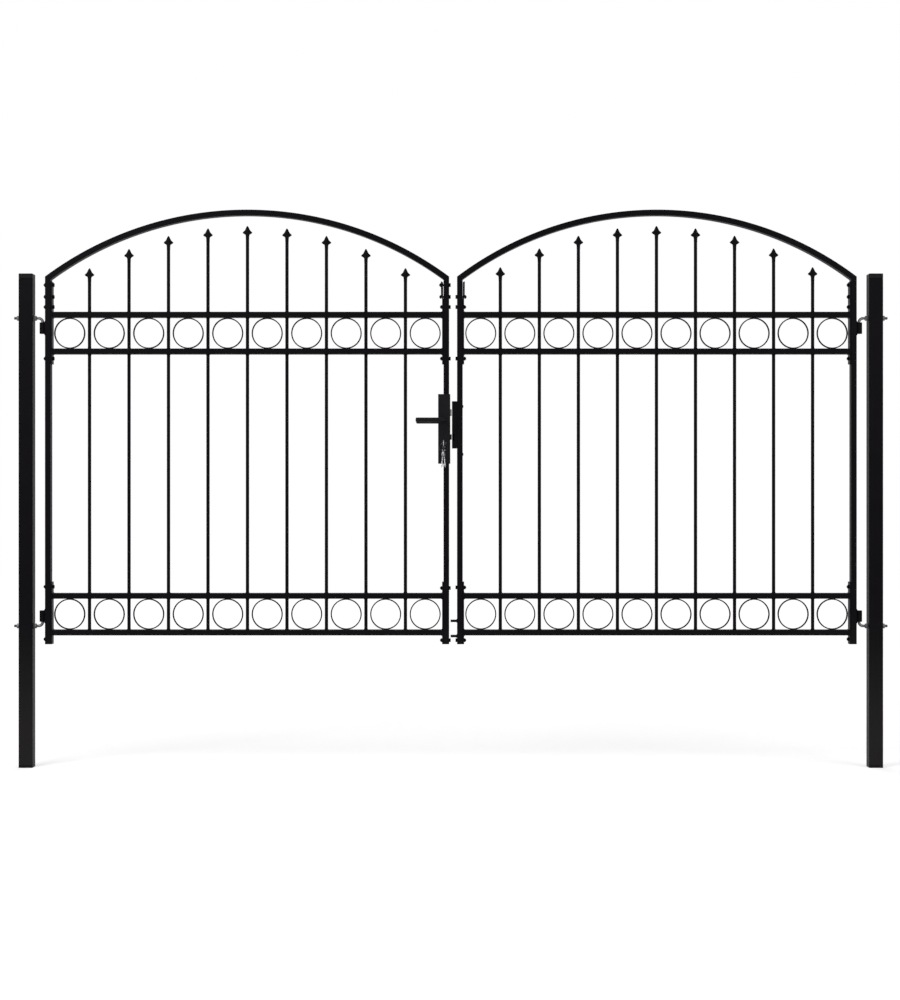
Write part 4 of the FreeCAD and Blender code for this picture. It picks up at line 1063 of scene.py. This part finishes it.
def lay_floor(stage):
    """A pale floor that shows white to the camera in the light, and darker in the gate's shadow.

    The glow makes up for the lamps' falling off between 1 and 9 metres from the gate's middle.
    """
    made = bpy.data.materials.new("pale_floor")
    tree = emptied(made)
    matt = add(tree, "ShaderNodeBsdfDiffuse", Color=(*stage.floor, 1)).outputs[0]
    place = add(tree, "ShaderNodeTexCoord").outputs["Object"]
    away = add(tree, "ShaderNodeVectorMath", [(0, place)], operation="DISTANCE")
    away.inputs[1].default_value = ((cad_low[0] + cad_high[0]) / 2, 0, 0)
    rise = add(
        tree, "ShaderNodeMapRange", [("Value", away.outputs["Value"])],
        From_Min=1.0, From_Max=9.0, To_Min=0.40, To_Max=0.76,
    )
    glow = add(tree, "ShaderNodeEmission", [("Strength", rise.outputs[0])], Color=(1, 1, 1, 1))
    both = add(tree, "ShaderNodeAddShader", [(0, matt), (1, glow.outputs[0])])
    mix = add(tree, "ShaderNodeMixShader", [(0, seen(tree)), (1, matt), (2, both.outputs[0])])
    add(tree, "ShaderNodeOutputMaterial", [("Surface", mix.outputs[0])])
    half, mesh = 14, bpy.data.meshes.new("floor")
    corners = [(-half, -half, 0), (half, -half, 0), (half, half, 0), (-half, half, 0)]
    mesh.from_pydata(corners, [], [(0, 1, 2, 3)])
    mesh.materials.append(made)
    linked("floor", mesh)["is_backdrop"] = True


class BuildStage(bpy.types.Operator):
    """Camera, soft lamps, pale floor and white surroundings"""

    bl_idname = "gate.stage"
    bl_label = "Stage"

    def execute(self, context):
        scene, stage = context.scene, context.scene.gate_stage
        scene.view_settings.view_transform = "Standard"
        data = bpy.data.cameras.new("camera")
        data.lens, data.sensor_width, data.clip_end = stage.lens, 36, 100
        scene.camera = linked("camera", data)
        scene.camera.location = (stage.camera_x, -stage.distance, stage.camera_height)
        scene.camera.rotation_euler = (np.pi / 2, 0, 0)
        middle = np.mean([cad_low, cad_high], axis=0)
        lamps = (
            ("key_lamp", (-1.8, -4.2, 4.2), 3.2, stage.key_power),
            ("fill_lamp", (5.4, -3.6, 3.0), 3.2, stage.fill_power),
            ("back_lamp", (1.5, 4.4, 4.6), 3.6, stage.fill_power),
        )
        for name, place, wide, power in lamps:
            data = bpy.data.lights.new(name, "AREA")
            data.size, data.energy = wide, power
            lamp = linked(name, data)
            lamp.location = place
            x, y, z = middle - place
            lamp.rotation_euler = (np.arctan2(np.hypot(x, y), -z), 0, np.arctan2(y, x) - np.pi / 2)
        scene.world = bpy.data.worlds.new("surroundings")
        fill_world(emptied(scene.world), stage)
        lay_floor(stage)
        return {"FINISHED"}


# --- add-on

BUILDERS = (
    BuildPosts, BuildHookBolts, BuildLeafFrames, BuildRails, BuildBalusters, BuildSpearHeads, BuildRings,
    BuildSidePlates, BuildBushes, BuildLock, BuildLever, BuildKeys, BuildStrike, BuildStage,
)


class GatePanel(bpy.types.Panel):
    """Lists the gate's builders, sizes and colours"""

    bl_idname = "VIEW3D_PT_gate"
    bl_label = "Arched double gate"
    bl_space_type = "VIEW_3D"
    bl_region_type = "UI"
    bl_category = "Gate"

    def draw(self, context):
        for builder in BUILDERS:
            self.layout.operator(builder.bl_idname)
        for group, kind in GROUPS.items():
            column = self.layout.column()
            for name in kind.__annotations__:
                column.prop(getattr(context.scene, group), name)


GROUPS = {"gate_sizes": GateSizes, "gate_colours": GateColours, "gate_stage": GateStage}
CLASSES = (*GROUPS.values(), *BUILDERS, GatePanel)


def register():
    for cls in CLASSES:
        bpy.utils.register_class(cls)
    for name, group in GROUPS.items():
        setattr(bpy.types.Scene, name, PointerProperty(type=group))


def unregister():
    for name in GROUPS:
        delattr(bpy.types.Scene, name)
    for cls in reversed(CLASSES):
        bpy.utils.unregister_class(cls)


def main():
    """Register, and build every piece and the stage."""
    register()
    finish_frame()
    for builder in BUILDERS:
        group, name = builder.bl_idname.split(".")
        getattr(getattr(bpy.ops, group), name)()


if __name__ == "__main__":
    main()
